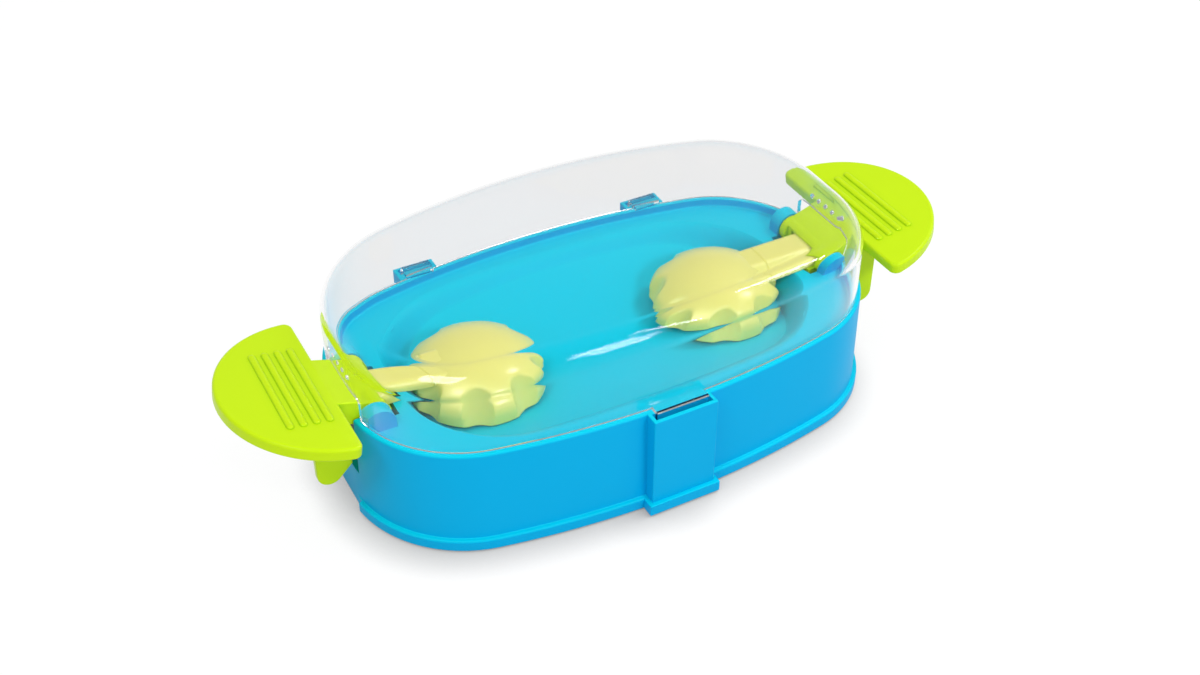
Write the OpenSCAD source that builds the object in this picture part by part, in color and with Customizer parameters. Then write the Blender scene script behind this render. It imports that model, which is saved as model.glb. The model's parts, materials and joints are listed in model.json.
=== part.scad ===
// Treat puzzle for dogs: an oval tray under a clear cover, worked by two see-saw paddles.
// +X runs along the length, the front faces -Y, and +Z is up from the surface it stands on.

/* [Base] */
// Length of the base over its end walls
base_l = 267; // [220:1:320]
// Width of the base over its long sides
base_w = 153; // [140:1:180]
// Height of the rim over the surface the toy stands on
base_h = 55.5; // [50:0.5:70]
// Radius of the long front and back sides
side_r = 430; // [300:5:600]
// Radius of the four corners
corner_r = 58; // [40:1:66]
// Wall thickness of the moulding
wall = 2.5; // [1.8:0.1:3.5]
// How far the wall leans out at its foot
draft = 0.8; // [0:0.1:2]
// Height of the foot band
flange_h = 6; // [3:0.5:12]
// How far the foot band stands proud of the wall
flange_out = 2.2; // [1:0.1:5]
// Rounding of the moulded edges
edge_round = 1; // [0.4:0.1:1.6]

/* [Tray] */
// Width of the flat rim that the cover stands on
rim_w = 5; // [4.2:0.1:8]
// Drop from the rim to the ledge inside it
ledge_drop = 4.5; // [2:0.5:8]
// Distance of the bowl from the end walls
bowl_end = 28.5; // [28:0.5:40]
// Distance of the bowl from the long sides
bowl_side = 13; // [9:0.5:24]
// Radius of the bowl's corners
bowl_corner_r = 54; // [35:1:56]
// Depth of the bowl's middle under the ledge
bowl_depth = 17.5; // [12:0.5:22]

/* [Lever] */
// Distance of each pivot from its end wall
pivot_in = 11; // [10:0.5:14]
// Height of the pivots over the ledge
pivot_rise = 3.5; // [2:0.5:6]
// Travel of a paddle when it is pressed
press_angle = 10; // [6:0.5:12]
// Radius of the round hub
hub_r = 7; // [6.5:0.5:8]
// Width of the hub between its posts
hub_w = 35.5; // [30:0.5:42]
// Step in from the hub's sides to the neck
neck_step = 0.5; // [0.5:0.1:2]
// Reach of the hub's tongue under the arm, from the pivot
tongue_l = 9.5; // [9:0.5:10.5]
// Room round the tongue in its channel
hub_room = 1.8; // [1.6:0.1:2.4]
// Thickness of the neck's two cheeks
cheek_t = 4; // [2.5:0.5:6]
// Diameter of the axle pin
pin_d = 4; // [3:0.5:6]
// Radial clearance of the hub on its pin
pin_clear = 0.05; // [0.03:0.01:0.1]
// Clearance between parts that move past each other
run_gap = 0.3; // [0.25:0.05:0.6]
// Thickness of each bearing post
post_t = 7.5; // [5:0.5:10]
// Share of a front post's thickness that its blind pin bore takes
pin_share = 0.7; // [0.5:0.05:0.8]
// Radius of the rounded top of a post
post_r = 7.5; // [6.5:0.5:8]

/* [Paddle] */
// Radius of the half-disc paddle
paddle_r = 49; // [35:1:60]
// Gap from the end wall to the paddle's straight edge
paddle_gap = 4.5; // [3.5:0.5:10]
// Height of the paddle's edge over the pivot
paddle_rise = 12; // [11:0.5:16]
// Upward slope of the paddle at rest
paddle_tilt = 9; // [0:0.5:15]
// Thickness of the paddle's edge
paddle_t = 6; // [4:0.5:10]
// Skin of the hollow paddle
paddle_skin = 2.5; // [1.6:0.1:3.5]
// Rounding of the paddle's two corners
paddle_corner = 4; // [3:0.5:8]
// Number of grip ribs
ribs = 4; // [2:1:6]
// Spacing of the grip ribs
rib_pitch = 5.9; // [4:0.1:8]
// Distance of the grip ribs' ends from the paddle's rim
rib_margin = 14; // [8:0.5:20]
// Width of a grip rib
rib_w = 2.4; // [1.5:0.1:3.5]
// Height of a grip rib
rib_h = 1; // [0.5:0.1:2]
// Distance of the first rib from the straight edge
rib_start = 7.5; // [5:0.5:12]
// Distance from the pivot out to a stop fin's rounded end
fin_x = 24; // [22:0.5:28]
// Height of a stop fin's rounded end under the pivot
fin_drop = 33; // [28:0.5:36]
// Radius of a stop fin's rounded end
fin_r = 6; // [4:0.5:7]
// Slope of a stop fin's inner edge
fin_slope = 45; // [35:1:55]
// Gap from the end wall to the stop fins at rest
fin_gap = 1.2; // [0.8:0.1:2]

/* [Paw] */
// Distance from a pivot to the middle of its paw
arm_reach = 56.5; // [52:0.5:62]
// Radius of a paw over its lobes
paw_r = 33; // [26:0.5:34]
// Number of lobes
paw_lobes = 8; // [6:1:10]
// Depth of the flutes at the lobes' foot
flute_depth = 2.2; // [1:0.1:4]
// Radius of a flute
flute_r = 9; // [7:0.5:12]
// Lean of the flutes into the dome
flute_lean = 20; // [10:1:25]
// Drop of the rounded shoulder down the side wall
shoulder_drop = 4.8; // [2:0.1:6]
// Reach of the rounded shoulder into the dome
shoulder_in = 6; // [3:0.5:9]
// Height of the lobes' side wall
paw_side = 8.5; // [6:0.5:12]
// Rise of the dome over its side wall
paw_dome = 15; // [8:0.5:17]
// Skin of the hollow paw
paw_skin = 2.5; // [1.6:0.1:3.5]
// Width of the arm
arm_w = 20; // [14:0.5:24]
// Height of the arm
arm_h = 7; // [5:0.5:8]
// Rounding of the arm's top edges
arm_round = 5; // [2:0.5:6]
// Clearance of pieces that are fixed in a socket
socket_gap = 0.1; // [0.05:0.05:0.2]
// Depth of the hub's mouth round the arm
mouth_depth = 6.5; // [5:0.5:7]
// Height of the hub's mouth over the arm
mouth_rise = 1.5; // [1:0.5:3]
// Wall between the arm's socket and the pin
pin_wall = 1.6; // [1.2:0.1:2]

/* [Arm screw] */
// Diameter of the screw's shank
screw_d = 3; // [2:0.5:4]
// Bite of the thread in its pilot hole
screw_bite = 0.15; // [0.05:0.05:0.3]
// Diameter of the screw's head
screw_head_d = 5; // [4:0.2:5.4]
// Height of the screw's head
screw_head_h = 1.8; // [1:0.2:2.4]
// Thickness of the hub's lip between the screw's head and the arm
screw_lip = 3; // [2:0.2:3.4]
// Plastic left over the tip of the screw
screw_cap = 1.2; // [0.8:0.1:2]

/* [Cover] */
// Height of the cover over the rim at its ends
cover_h = 39; // [34:0.5:50]
// Extra height of the cover's arched middle
crown = 6; // [0:0.5:14]
// Thickness of the clear plastic
cover_t = 2; // [1.5:0.1:2.4]
// Step from the base's edge to the cover's wall
cover_inset = 1.8; // [1:0.1:2]
// Rounding of the cover's top edge
cover_round = 13; // [6:0.5:16]
// Room in the cover's notches round each neck
notch_gap = 4; // [3.6:0.1:8]
// Rounding of the notches' corners
notch_round = 3; // [1:0.5:4]
// Number of scent holes over each notch
vents = 5; // [1:1:7]
// Spacing of the scent holes
vent_pitch = 5.8; // [4:0.1:7]
// Diameter of a scent hole
vent_d = 2.6; // [1.5:0.1:4]
// Height of the scent holes over the notch
vent_rise = 6; // [5:0.5:10]

/* [Latches] */
// Width of the front latch pocket
latch_w = 33; // [24:1:44]
// How far the front pocket stands out
latch_out = 6.8; // [6:0.1:10]
// Wall of a pocket
pocket_wall = 1.8; // [1.4:0.1:2]
// Room beside a tab in its pocket
tab_room = 1.4; // [1:0.1:2]
// Room behind the front tab in its pocket
tab_back = 0.5; // [0.4:0.1:0.8]
// Length of the cover's front tab below the rim
tab_drop = 18; // [10:0.5:26]
// Radius of the snap bead on the front tab
snap_r = 0.6; // [0.4:0.1:0.8]
// Height of the snap bead over the end of the front tab
snap_rise = 7; // [3:0.5:9]
// Thickness of the cover's tabs
tab_t = 2; // [1.5:0.1:2.4]
// Distance of each rear hinge pocket from the middle
hinge_x = 65; // [50:1:74]
// Width of a rear hinge pocket
hinge_w = 21; // [16:0.5:26]
// Height of a rear hinge pocket
hinge_h = 14; // [10:0.5:24]
// Radius of the cover's hinge bead
bead_r = 1.6; // [1.2:0.1:2]
// Room round a hinge bead
bead_room = 0.4; // [0.3:0.05:0.6]
// Distance of the hinge line behind the cover's wall
hinge_back = 0.7; // [0.5:0.1:1]
// Room behind a hinge bead for its tab to swing
swing_room = 0.7; // [0.6:0.1:1]
// Depth of the hinge line under the rim
hinge_sink = 1; // [0.6:0.1:1.4]
// Thickness of the cover's shelves over the rim
shelf_h = 2; // [1.5:0.1:3]

/* [Feet] */
// Diameter of a rubber foot
foot_d = 12; // [8:0.5:14]
// How far the feet stand below the base
foot_proud = 0.8; // [0.5:0.1:2]
// Depth of a foot in its boss
foot_sink = 2.5; // [1.5:0.5:5]
// Wall round a foot
foot_wall = 2; // [1.5:0.1:3]
// Distance of the feet from the end walls
foot_end = 36.5; // [34:0.5:60]
// Distance of the feet from the long sides
foot_side = 30.5; // [29:0.5:40]

/* [Hidden] */
$fn = 64;

// Cutters and slices
past = 1;
thin = 0.01;
corner_steps = 12;
side_steps = 6;
round_steps = 5;

// Heights
ledge_z = base_h - ledge_drop;
floor_z = ledge_z - bowl_depth;
pivot_z = ledge_z + pivot_rise;
cover_z = base_h + run_gap;
cover_top = base_h + cover_h;

// Bowl: a trough whose radius spans the bowl's width
bowl_l = base_l - 2 * bowl_end;
bowl_w = base_w - 2 * bowl_side;
trough_r = (pow(bowl_w / 2, 2) + pow(bowl_depth, 2)) / (2 * bowl_depth);
trough_z = floor_z + trough_r;

// Lever
end_x = base_l / 2;
pivot_x = end_x - pivot_in;
channel_w = hub_w + 2 * run_gap;
channel_in = pivot_x - tongue_l - hub_room;
channel_z = pivot_z - tongue_l - hub_room;
neck_w = hub_w - 2 * neck_step;
neck_drop = hub_r / 2;
paddle_x = end_x + paddle_gap;
rib_last = rib_start + (ribs - 1) * rib_pitch;
rib_l = 2 * (sqrt(pow(paddle_r, 2) - pow(rib_last, 2)) - rib_margin);

// Fins, from the pivot: their sloped inner edges swing into a slot in the end wall and stop on its foot
wall_out = pivot_in + draft;
fin_low = fin_drop - fin_r;
fin_top = -neck_drop / 2;
fin_heel = wall_out + fin_gap;
fin_toe = [fin_x - fin_r * sin(fin_slope), -fin_low - fin_r * cos(fin_slope)];
fin_knee = [fin_heel, fin_toe.y + (fin_toe.x - fin_heel) * tan(fin_slope)];
toe_in = pressed(fin_toe);
knee_in = pressed(fin_knee);
slot_z = pivot_z + knee_in.y + (toe_in.y - knee_in.y) * (wall_out - knee_in.x) / (toe_in.x - knee_in.x) - run_gap;

// Paw
paw_x = pivot_x - arm_reach;
paw_z = trough_z - sqrt(pow(trough_r, 2) - pow(paw_r, 2)) + run_gap;
dome_r = (pow(paw_r, 2) + pow(paw_dome, 2)) / (2 * paw_dome);
dome_z = paw_z + paw_side + paw_dome - dome_r;
shoulder_low = [paw_r, paw_z + paw_side - shoulder_drop];
shoulder_top = [paw_r - shoulder_in, dome_z + sqrt(pow(dome_r, 2) - pow(paw_r - shoulder_in, 2))];
shoulder_z = (shoulder_top * shoulder_top - shoulder_low * shoulder_low) / (2 * (shoulder_top.y - shoulder_low.y));
shoulder_r = norm(shoulder_low - [0, shoulder_z]);
hollow_r = paw_r - flute_depth - paw_skin / cos(flute_lean);
arm_z = ledge_z + run_gap;
socket_end = pivot_x - pin_d / 2 - pin_wall;
mouth_w = neck_w - 2 * cheek_t;
screw_x = (pivot_x - tongue_l + socket_end) / 2;
screw_seat = arm_z - screw_lip;
screw_tip = arm_z + arm_h - screw_cap;

// Cover
notch_w = neck_w + 2 * notch_gap;
neck_slope = (paddle_rise - hub_r) / (paddle_x - pivot_x);
notch_h = pivot_z + hub_r + neck_slope * (pivot_in - cover_inset) + notch_gap - cover_z;

// Latches
latch_y = base_w / 2 + latch_out;
tab_y = base_w / 2 + draft + tab_back;
hinge_y = base_w / 2 - cover_inset + hinge_back;
hinge_z = base_h - hinge_sink;
hinge_face = hinge_y + bead_r + swing_room + pocket_wall;

// Feet
foot_x = end_x - foot_end;
foot_y = base_w / 2 - foot_side;

// The footprint is centred on the origin, front pocket included
front_reach = latch_y + flange_out;
back_reach = max(hinge_face, base_w / 2 + draft + flange_out);
centre_y = (front_reach - back_reach) / 2;

// Point of a lever, from its pivot, when the paddle is pressed
function pressed(p) =
    [p.x * cos(press_angle) + p.y * sin(press_angle), p.y * cos(press_angle) - p.x * sin(press_angle)];

// Quarter of a plan outline, from the end wall to the middle of the long side
function quarter(l, w, sr, cr, inset) =
    let (cx = l / 2 - cr,
         sy = w / 2 - sr,
         cy = sy + sqrt(pow(sr - cr, 2) - pow(cx, 2)),
         join = atan2(cy - sy, cx))
    concat(
        [for (i = [0:corner_steps])
            let (t = join * i / corner_steps)
            [cx + (cr - inset) * cos(t), cy + (cr - inset) * sin(t)]],
        [for (i = [1:side_steps])
            let (t = join + (90 - join) * i / side_steps)
            [(sr - inset) * cos(t), sy + (sr - inset) * sin(t)]]);

// The whole outline, counter-clockwise, so that point i mirrors point n - 1 - i across the X axis
function whole(q) =
    let (last = len(q) - 1)
    concat(q,
           [for (i = [last - 1:-1:0]) [-q[i].x, q[i].y]],
           [for (p = q) [-p.x, -p.y]],
           [for (i = [last - 1:-1:0]) [q[i].x, -q[i].y]]);

function base_plan(inset) = whole(quarter(base_l, base_w, side_r, corner_r, inset));

function bowl_plan(inset) =
    whole(quarter(bowl_l, bowl_w, side_r - (base_w - bowl_w) / 2, bowl_corner_r, inset));

// Thin slice of an outline, for lofts
module slice(points, z) {
    translate([0, 0, z])
        linear_extrude(thin)
            polygon(points);
}

module prism(points, z0, z1) {
    translate([0, 0, z0])
        linear_extrude(z1 - z0)
            polygon(points);
}

// From the middle of the base to the middle of the footprint
module placed() {
    translate([0, centre_y, 0])
        children();
}

module both_ends() {
    for (m = [0, 1])
        mirror([m, 0, 0])
            children();
}

module both_sides() {
    for (m = [0, 1])
        mirror([0, m, 0])
            children();
}

// Box from one corner to the opposite one
module span(from, to) {
    translate(from)
        cube(to - from);
}

// Profile in X and Z, extruded across the width and centred on it
module across(w) {
    translate([0, w / 2, 0])
        rotate([90, 0, 0])
            linear_extrude(w)
                children();
}

// Outer wall with its draft and rounded rim
module skirt() {
    hull() {
        slice(base_plan(-draft), foot_proud);
        slice(base_plan(0), base_h - edge_round);
        slice(base_plan(edge_round / 3), base_h - edge_round / 3);
        slice(base_plan(edge_round), base_h - thin);
    }
}

// Foot band round the outer wall, left out where the stop fins swing
module foot_band() {
    difference() {
        hull() {
            slice(base_plan(-draft - flange_out), foot_proud);
            slice(base_plan(-draft - flange_out), foot_proud + flange_h - edge_round);
            slice(base_plan(-draft - flange_out + edge_round), foot_proud + flange_h);
        }
        both_ends()
            span([end_x + draft, -channel_w / 2 - past, 0],
                 [end_x + draft + flange_out + past, channel_w / 2 + past, foot_proud + flange_h + past]);
    }
}

module front_pocket() {
    span([-latch_w / 2, -latch_y, foot_proud], [latch_w / 2, -base_w / 2 + wall, base_h - thin]);
    span([-latch_w / 2 - flange_out, -latch_y - flange_out, foot_proud],
         [latch_w / 2 + flange_out, -base_w / 2 + wall, foot_proud + flange_h]);
}

module front_slot() {
    span([-latch_w / 2 + pocket_wall, -latch_y + pocket_wall, 0],
         [latch_w / 2 - pocket_wall, -base_w / 2 - draft, base_h + past]);
}

module hinge_pockets() {
    both_ends()
        span([hinge_x - hinge_w / 2, base_w / 4, base_h - hinge_h],
             [hinge_x + hinge_w / 2, hinge_face, base_h - thin]);
}

module hinge_slots() {
    both_ends()
        span([hinge_x - hinge_w / 2 + pocket_wall, hinge_y - bead_r - bead_room, hinge_z - bead_r - bead_room],
             [hinge_x + hinge_w / 2 - pocket_wall, hinge_face - pocket_wall, base_h + past]);
}

// Trough along the length, cut off by the bowl's outline
module trough(grow) {
    intersection() {
        prism(bowl_plan(-grow), floor_z - wall - past, ledge_z + (grow > 0 ? 0 : past));
        translate([0, 0, trough_z])
            rotate([0, 90, 0])
                cylinder(r = trough_r + grow, h = bowl_l + 2 * wall + past, center = true, $fn = 360);
    }
}

module channel_boxes() {
    both_ends()
        span([channel_in - wall, -channel_w / 2 - wall, channel_z - wall],
             [end_x - wall / 2, channel_w / 2 + wall, ledge_z]);
}

module channels() {
    both_ends()
        span([channel_in, -channel_w / 2, channel_z],
             [end_x + flange_out + past, channel_w / 2, base_h + past]);
}

// Slots in the end walls, under the channels, that the stop fins swing into
module fin_slots() {
    both_ends()
        span([end_x - wall - past, -channel_w / 2, slot_z],
             [end_x + draft + past, channel_w / 2, channel_z + past]);
}

// Posts that carry the pins, kept clear of the cover's wall
module bearing_posts() {
    intersection() {
        both_ends()
            both_sides()
                translate([pivot_x, channel_w / 2 + post_t / 2, 0]) {
                    across(post_t)
                        translate([0, pivot_z])
                            circle(post_r);
                    span([-post_r, -post_t / 2, ledge_z - wall], [post_r, post_t / 2, pivot_z]);
                }
        prism(base_plan(cover_inset + cover_t + run_gap), ledge_z - wall, pivot_z + post_r + past);
    }
}

// Pin bores: blind in the front posts, through the back ones
module pin_bores() {
    both_ends()
        translate([pivot_x, -pin_reach(), pivot_z])
            rotate([-90, 0, 0])
                cylinder(d = pin_d, h = pin_reach() + channel_w / 2 + post_t + past);
}

function pin_reach() = channel_w / 2 + pin_share * post_t;

module foot_bosses() {
    both_ends()
        both_sides()
            translate([foot_x, foot_y, foot_proud])
                cylinder(d = foot_d + 2 * foot_wall, h = ledge_z - wall / 2 - foot_proud);
}

module foot_holes() {
    both_ends()
        both_sides()
            translate([foot_x, foot_y, 0]) {
                cylinder(d = foot_d + 2 * socket_gap, h = foot_proud + foot_sink);
                cylinder(d = foot_d - 2 * foot_wall, h = ledge_z - wall);
            }
}

module base_shell() {
    color("deepskyblue")
        placed()
        difference() {
            union() {
                difference() {
                    union() {
                        skirt();
                        foot_band();
                        front_pocket();
                        hinge_pockets();
                    }
                    prism(base_plan(wall), 0, ledge_z - wall);
                    prism(base_plan(rim_w), ledge_z, base_h + past);
                }
                trough(wall);
                channel_boxes();
                bearing_posts();
                foot_bosses();
            }
            trough(0);
            channels();
            fin_slots();
            pin_bores();
            foot_holes();
            front_slot();
            hinge_slots();
        }
}

// Loft of rings that closes over the top in strips across the width
module arched_loft(rings) {
    n = len(rings[0]);
    top = (len(rings) - 1) * n;
    bottom_face = [[for (i = [0:n - 1]) i]];
    side_faces = [for (r = [0:len(rings) - 2], i = [0:n - 1])
        let (j = (i + 1) % n)
        [r * n + i, (r + 1) * n + i, (r + 1) * n + j, r * n + j]];
    top_faces = [for (i = [0:n / 2 - 2]) [top + i, top + n - 1 - i, top + n - 2 - i, top + i + 1]];
    polyhedron([for (ring = rings, p = ring) p], concat(bottom_face, side_faces, top_faces), convexity = 4);
}

// Height of the cover's arched top over the plan
function arch(x) = cover_top + crown * (1 - pow(x / end_x, 2));

// Ring of the cover's surface at one step of its rounded edge
function cover_ring(inset, sink, turn) =
    let (r = cover_round - sink)
    [for (p = base_plan(inset + r * (1 - cos(turn)))) [p.x, p.y, arch(p.x) - sink - r * (1 - sin(turn))]];

function flat_ring(inset, z) = [for (p = base_plan(inset)) [p.x, p.y, z]];

function cover_rings(sink, z0) =
    concat([flat_ring(cover_inset + sink, z0)],
           [for (k = [0:round_steps]) cover_ring(cover_inset + sink, sink, 90 * k / round_steps)]);

module neck_notch() {
    both_ends()
        translate([end_x - cover_inset - cover_t - past, 0, cover_z - past])
            rotate([90, 0, 90])
                linear_extrude(cover_t + 2 * past)
                    union() {
                        translate([-notch_w / 2, 0])
                            square([notch_w, notch_h + past - notch_round]);
                        translate([-notch_w / 2 + notch_round, 0])
                            square([notch_w - 2 * notch_round, notch_h + past]);
                        for (s = [-1, 1])
                            translate([s * (notch_w / 2 - notch_round), notch_h + past - notch_round])
                                circle(notch_round);
                    }
}

module scent_holes() {
    both_ends()
        for (i = [0:vents - 1])
            translate([end_x - cover_inset - cover_t - past,
                       (i - (vents - 1) / 2) * vent_pitch,
                       cover_z + notch_h + vent_rise])
                rotate([0, 90, 0])
                    cylinder(d = vent_d, h = cover_t + 2 * past);
}

// Snap tab that drops into the front pocket
module front_tab() {
    half = latch_w / 2 - pocket_wall - tab_room;
    span([-half, -tab_y - tab_t, cover_z], [half, -base_w / 2 + cover_inset + cover_t / 2, cover_z + shelf_h]);
    span([-half, -tab_y - tab_t, base_h - tab_drop], [half, -tab_y, cover_z + shelf_h]);
    translate([-half, -tab_y - tab_t, base_h - tab_drop + snap_rise])
        rotate([0, 90, 0])
            cylinder(r = snap_r, h = 2 * half);
}

// Rear tabs that end in a bead on the hinge line
module hinge_tabs() {
    half = hinge_w / 2 - pocket_wall - tab_room;
    both_ends()
        translate([hinge_x, 0, 0]) {
            translate([-half, hinge_y, hinge_z])
                rotate([0, 90, 0])
                    cylinder(r = bead_r, h = 2 * half);
            span([-half, hinge_y - bead_r, hinge_z], [half, hinge_y + bead_r / 3, cover_z + shelf_h]);
            span([-half, hinge_root(), cover_z], [half, hinge_y, cover_z + shelf_h]);
        }
}

// Where a rear tab springs from the cover's wall, at the outer edge of the tab
function hinge_root() =
    let (x = hinge_x + hinge_w / 2, r = side_r - cover_inset - cover_t / 2)
    base_w / 2 - side_r + sqrt(pow(r, 2) - pow(x, 2));

module clear_cover() {
    color("aliceblue", 0.4)
        placed()
        difference() {
            union() {
                difference() {
                    arched_loft(cover_rings(0, cover_z));
                    arched_loft(cover_rings(cover_t, cover_z - past));
                }
                front_tab();
                hinge_tabs();
            }
            neck_notch();
            scent_holes();
        }
}

// Half disc with rounded corners, its straight edge on the Y axis
module half_disc(r, corner) {
    offset(r = corner)
        offset(delta = -corner)
            intersection() {
                circle(r, $fn = 120);
                translate([0, -r])
                    square([r, 2 * r]);
            }
}

// Rounded bar, for the grip ribs
module grip_rib() {
    across_l = rib_l - rib_w;
    translate([-rib_w / 2, -across_l / 2, 0])
        cube([rib_w, across_l, rib_h]);
    both_sides()
        translate([0, across_l / 2, 0])
            cylinder(d = rib_w, h = rib_h);
}

module paddle_plate() {
    translate([paddle_x, 0, pivot_z + paddle_rise])
        rotate([0, -paddle_tilt, 0]) {
            difference() {
                translate([0, 0, -paddle_t])
                    linear_extrude(paddle_t)
                        half_disc(paddle_r, paddle_corner);
                translate([paddle_skin, 0, -paddle_t - past])
                    linear_extrude(paddle_t + past - paddle_skin)
                        half_disc(paddle_r - 2 * paddle_skin, paddle_corner - paddle_skin);
            }
            for (i = [0:ribs - 1])
                translate([rib_start + i * rib_pitch, 0, -thin])
                    grip_rib();
        }
}

// Neck between the hub and the paddle, and the outline of its cheeks with their stop fins
module neck_profile() {
    polygon([[pivot_x, pivot_z + hub_r],
             [paddle_x, pivot_z + paddle_rise],
             [paddle_x + paddle_skin, pivot_z + paddle_rise - paddle_skin],
             [paddle_x + paddle_skin, pivot_z + paddle_rise - paddle_t],
             [paddle_x, pivot_z + fin_top],
             [pivot_x, pivot_z - neck_drop]]);
}

module fin_profile() {
    tilt_rise = (fin_x + fin_r + pivot_x - paddle_x) * tan(paddle_tilt);
    plate_z = pivot_z + paddle_rise - paddle_t / 2;
    polygon([[paddle_x, plate_z],
             [pivot_x + fin_x + fin_r, plate_z + tilt_rise],
             [pivot_x + fin_x + fin_r, pivot_z - fin_low],
             [pivot_x + fin_toe.x, pivot_z + fin_toe.y],
             [pivot_x + fin_knee.x, pivot_z + fin_knee.y],
             [pivot_x + fin_heel, pivot_z + fin_top]]);
    translate([pivot_x + fin_x, pivot_z - fin_low])
        circle(fin_r);
}

module paddle() {
    difference() {
        union() {
            translate([pivot_x, 0, pivot_z])
                rotate([90, 0, 0])
                    cylinder(r = hub_r, h = hub_w, center = true);
            // Tongue under the arm, for its screw
            span([pivot_x - tongue_l, -mouth_w / 2, screw_seat - screw_head_h], [pivot_x, mouth_w / 2, arm_z]);
            across(neck_w)
                neck_profile();
            both_sides()
                translate([0, neck_w / 2 - cheek_t / 2, 0])
                    across(cheek_t)
                        fin_profile();
            paddle_plate();
        }
        // Hollow under the neck, between the cheeks
        span([pivot_x + pin_d / 2 + cheek_t, -mouth_w / 2, pivot_z - hub_r],
             [paddle_x + paddle_skin + past, mouth_w / 2, pivot_z + hub_r - paddle_skin]);
        // Mouth of the hub, wider than the arm, and the arm's socket behind it
        span([channel_in - past, -mouth_w / 2, arm_z - socket_gap],
             [channel_in + mouth_depth, mouth_w / 2, arm_z + arm_h + mouth_rise]);
        span([channel_in - past, -arm_w / 2 - socket_gap, arm_z - socket_gap],
             [socket_end + socket_gap, arm_w / 2 + socket_gap, arm_z + arm_h + socket_gap]);
        translate([pivot_x, 0, pivot_z])
            rotate([90, 0, 0])
                cylinder(d = pin_d + 2 * pin_clear, h = hub_w + past, center = true);
        translate([screw_x, 0, channel_z]) {
            cylinder(d = screw_d + 2 * socket_gap, h = arm_z - channel_z);
            cylinder(d = screw_head_d + 2 * socket_gap, h = screw_seat - channel_z);
        }
    }
}

// Dome with a soft shoulder over a round side wall
module paw_dome_form() {
    intersection() {
        translate([0, 0, paw_z])
            cylinder(r = paw_r, h = paw_side + paw_dome + past);
        translate([0, 0, dome_z])
            sphere(r = dome_r, $fn = 128);
        translate([0, 0, shoulder_z])
            sphere(r = shoulder_r, $fn = 128);
    }
}

// Flutes between the lobes, leaning into the dome
module flutes() {
    for (i = [0:paw_lobes - 1])
        rotate(360 * (i + 0.5) / paw_lobes)
            translate([paw_r - flute_depth, 0, paw_z])
                rotate([0, -flute_lean, 0])
                    translate([flute_r, 0, -flute_r])
                        cylinder(r = flute_r, h = (paw_side + paw_dome) / cos(flute_lean) + 2 * flute_r);
}

// Hollow of the paw, with the same lean as the flutes
module paw_hollow() {
    rise = paw_side + paw_dome;
    intersection() {
        translate([0, 0, paw_z - past])
            cylinder(
                r1 = hollow_r + past * tan(flute_lean),
                r2 = hollow_r - rise * tan(flute_lean),
                h = rise + past
            );
        translate([0, 0, dome_z])
            sphere(r = dome_r - paw_skin, $fn = 128);
    }
}

// Arm section in Y and Z, flat below and rounded above
module arm_section() {
    intersection() {
        union() {
            translate([-arm_w / 2, -arm_round])
                square([arm_w, arm_h]);
            translate([-arm_w / 2 + arm_round, -arm_round])
                square([arm_w - 2 * arm_round, arm_h + arm_round]);
            for (s = [-1, 1])
                translate([s * (arm_w / 2 - arm_round), arm_h - arm_round])
                    circle(arm_round);
        }
        translate([-arm_w / 2, 0])
            square([arm_w, arm_h]);
    }
}

module paw() {
    difference() {
        union() {
            translate([paw_x, 0, 0])
                difference() {
                    paw_dome_form();
                    flutes();
                }
            translate([paw_x + paw_r / 2, 0, arm_z])
                rotate([90, 0, 90])
                    linear_extrude(socket_end - paw_x - paw_r / 2)
                        arm_section();
        }
        translate([paw_x, 0, 0])
            paw_hollow();
        translate([screw_x, 0, arm_z - past])
            cylinder(d = screw_d - 2 * screw_bite, h = screw_tip - arm_z + past);
    }
}

module axle() {
    translate([pivot_x, -pin_reach(), pivot_z])
        rotate([-90, 0, 0])
            cylinder(d = pin_d, h = pin_reach() + channel_w / 2 + post_t - run_gap);
}

module arm_screw() {
    translate([screw_x, 0, screw_seat - screw_head_h])
        cylinder(d = screw_head_d, h = screw_head_h);
    translate([screw_x, 0, screw_seat - thin])
        cylinder(d = screw_d, h = screw_tip - screw_seat);
}

module foot(end, side) {
    color("dimgray")
        placed()
        translate([end * foot_x, side * foot_y, 0])
            cylinder(d = foot_d, h = foot_proud + foot_sink);
}

module left_paddle() { color("yellowgreen") placed() mirror([1, 0, 0]) paddle(); }
module right_paddle() { color("yellowgreen") placed() paddle(); }
module left_paw() { color("khaki") placed() mirror([1, 0, 0]) paw(); }
module right_paw() { color("khaki") placed() paw(); }
module left_axle() { color("silver") placed() mirror([1, 0, 0]) axle(); }
module right_axle() { color("silver") placed() axle(); }
module left_arm_screw() { color("silver") placed() mirror([1, 0, 0]) arm_screw(); }
module right_arm_screw() { color("silver") placed() arm_screw(); }

base_shell();
clear_cover();
left_paddle();
right_paddle();
left_paw();
right_paw();
left_axle();
right_axle();
left_arm_screw();
right_arm_screw();
foot(-1, -1);  // foot_front_left
foot(1, -1);  // foot_front_right
foot(-1, 1);  // foot_back_left
foot(1, 1);  // foot_back_right
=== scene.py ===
"""Looks of a treat puzzle for dogs: smooth mouldings, plastics, light and camera round the packed frame."""

from __future__ import annotations

import json
import logging
import math
from collections import Counter
from dataclasses import dataclass, field
from enum import Enum
from typing import Callable, Iterable, Sequence

import bmesh
import bpy
from bmesh.types import BMEdge, BMesh, BMVert
from mathutils import Matrix, Vector

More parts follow.
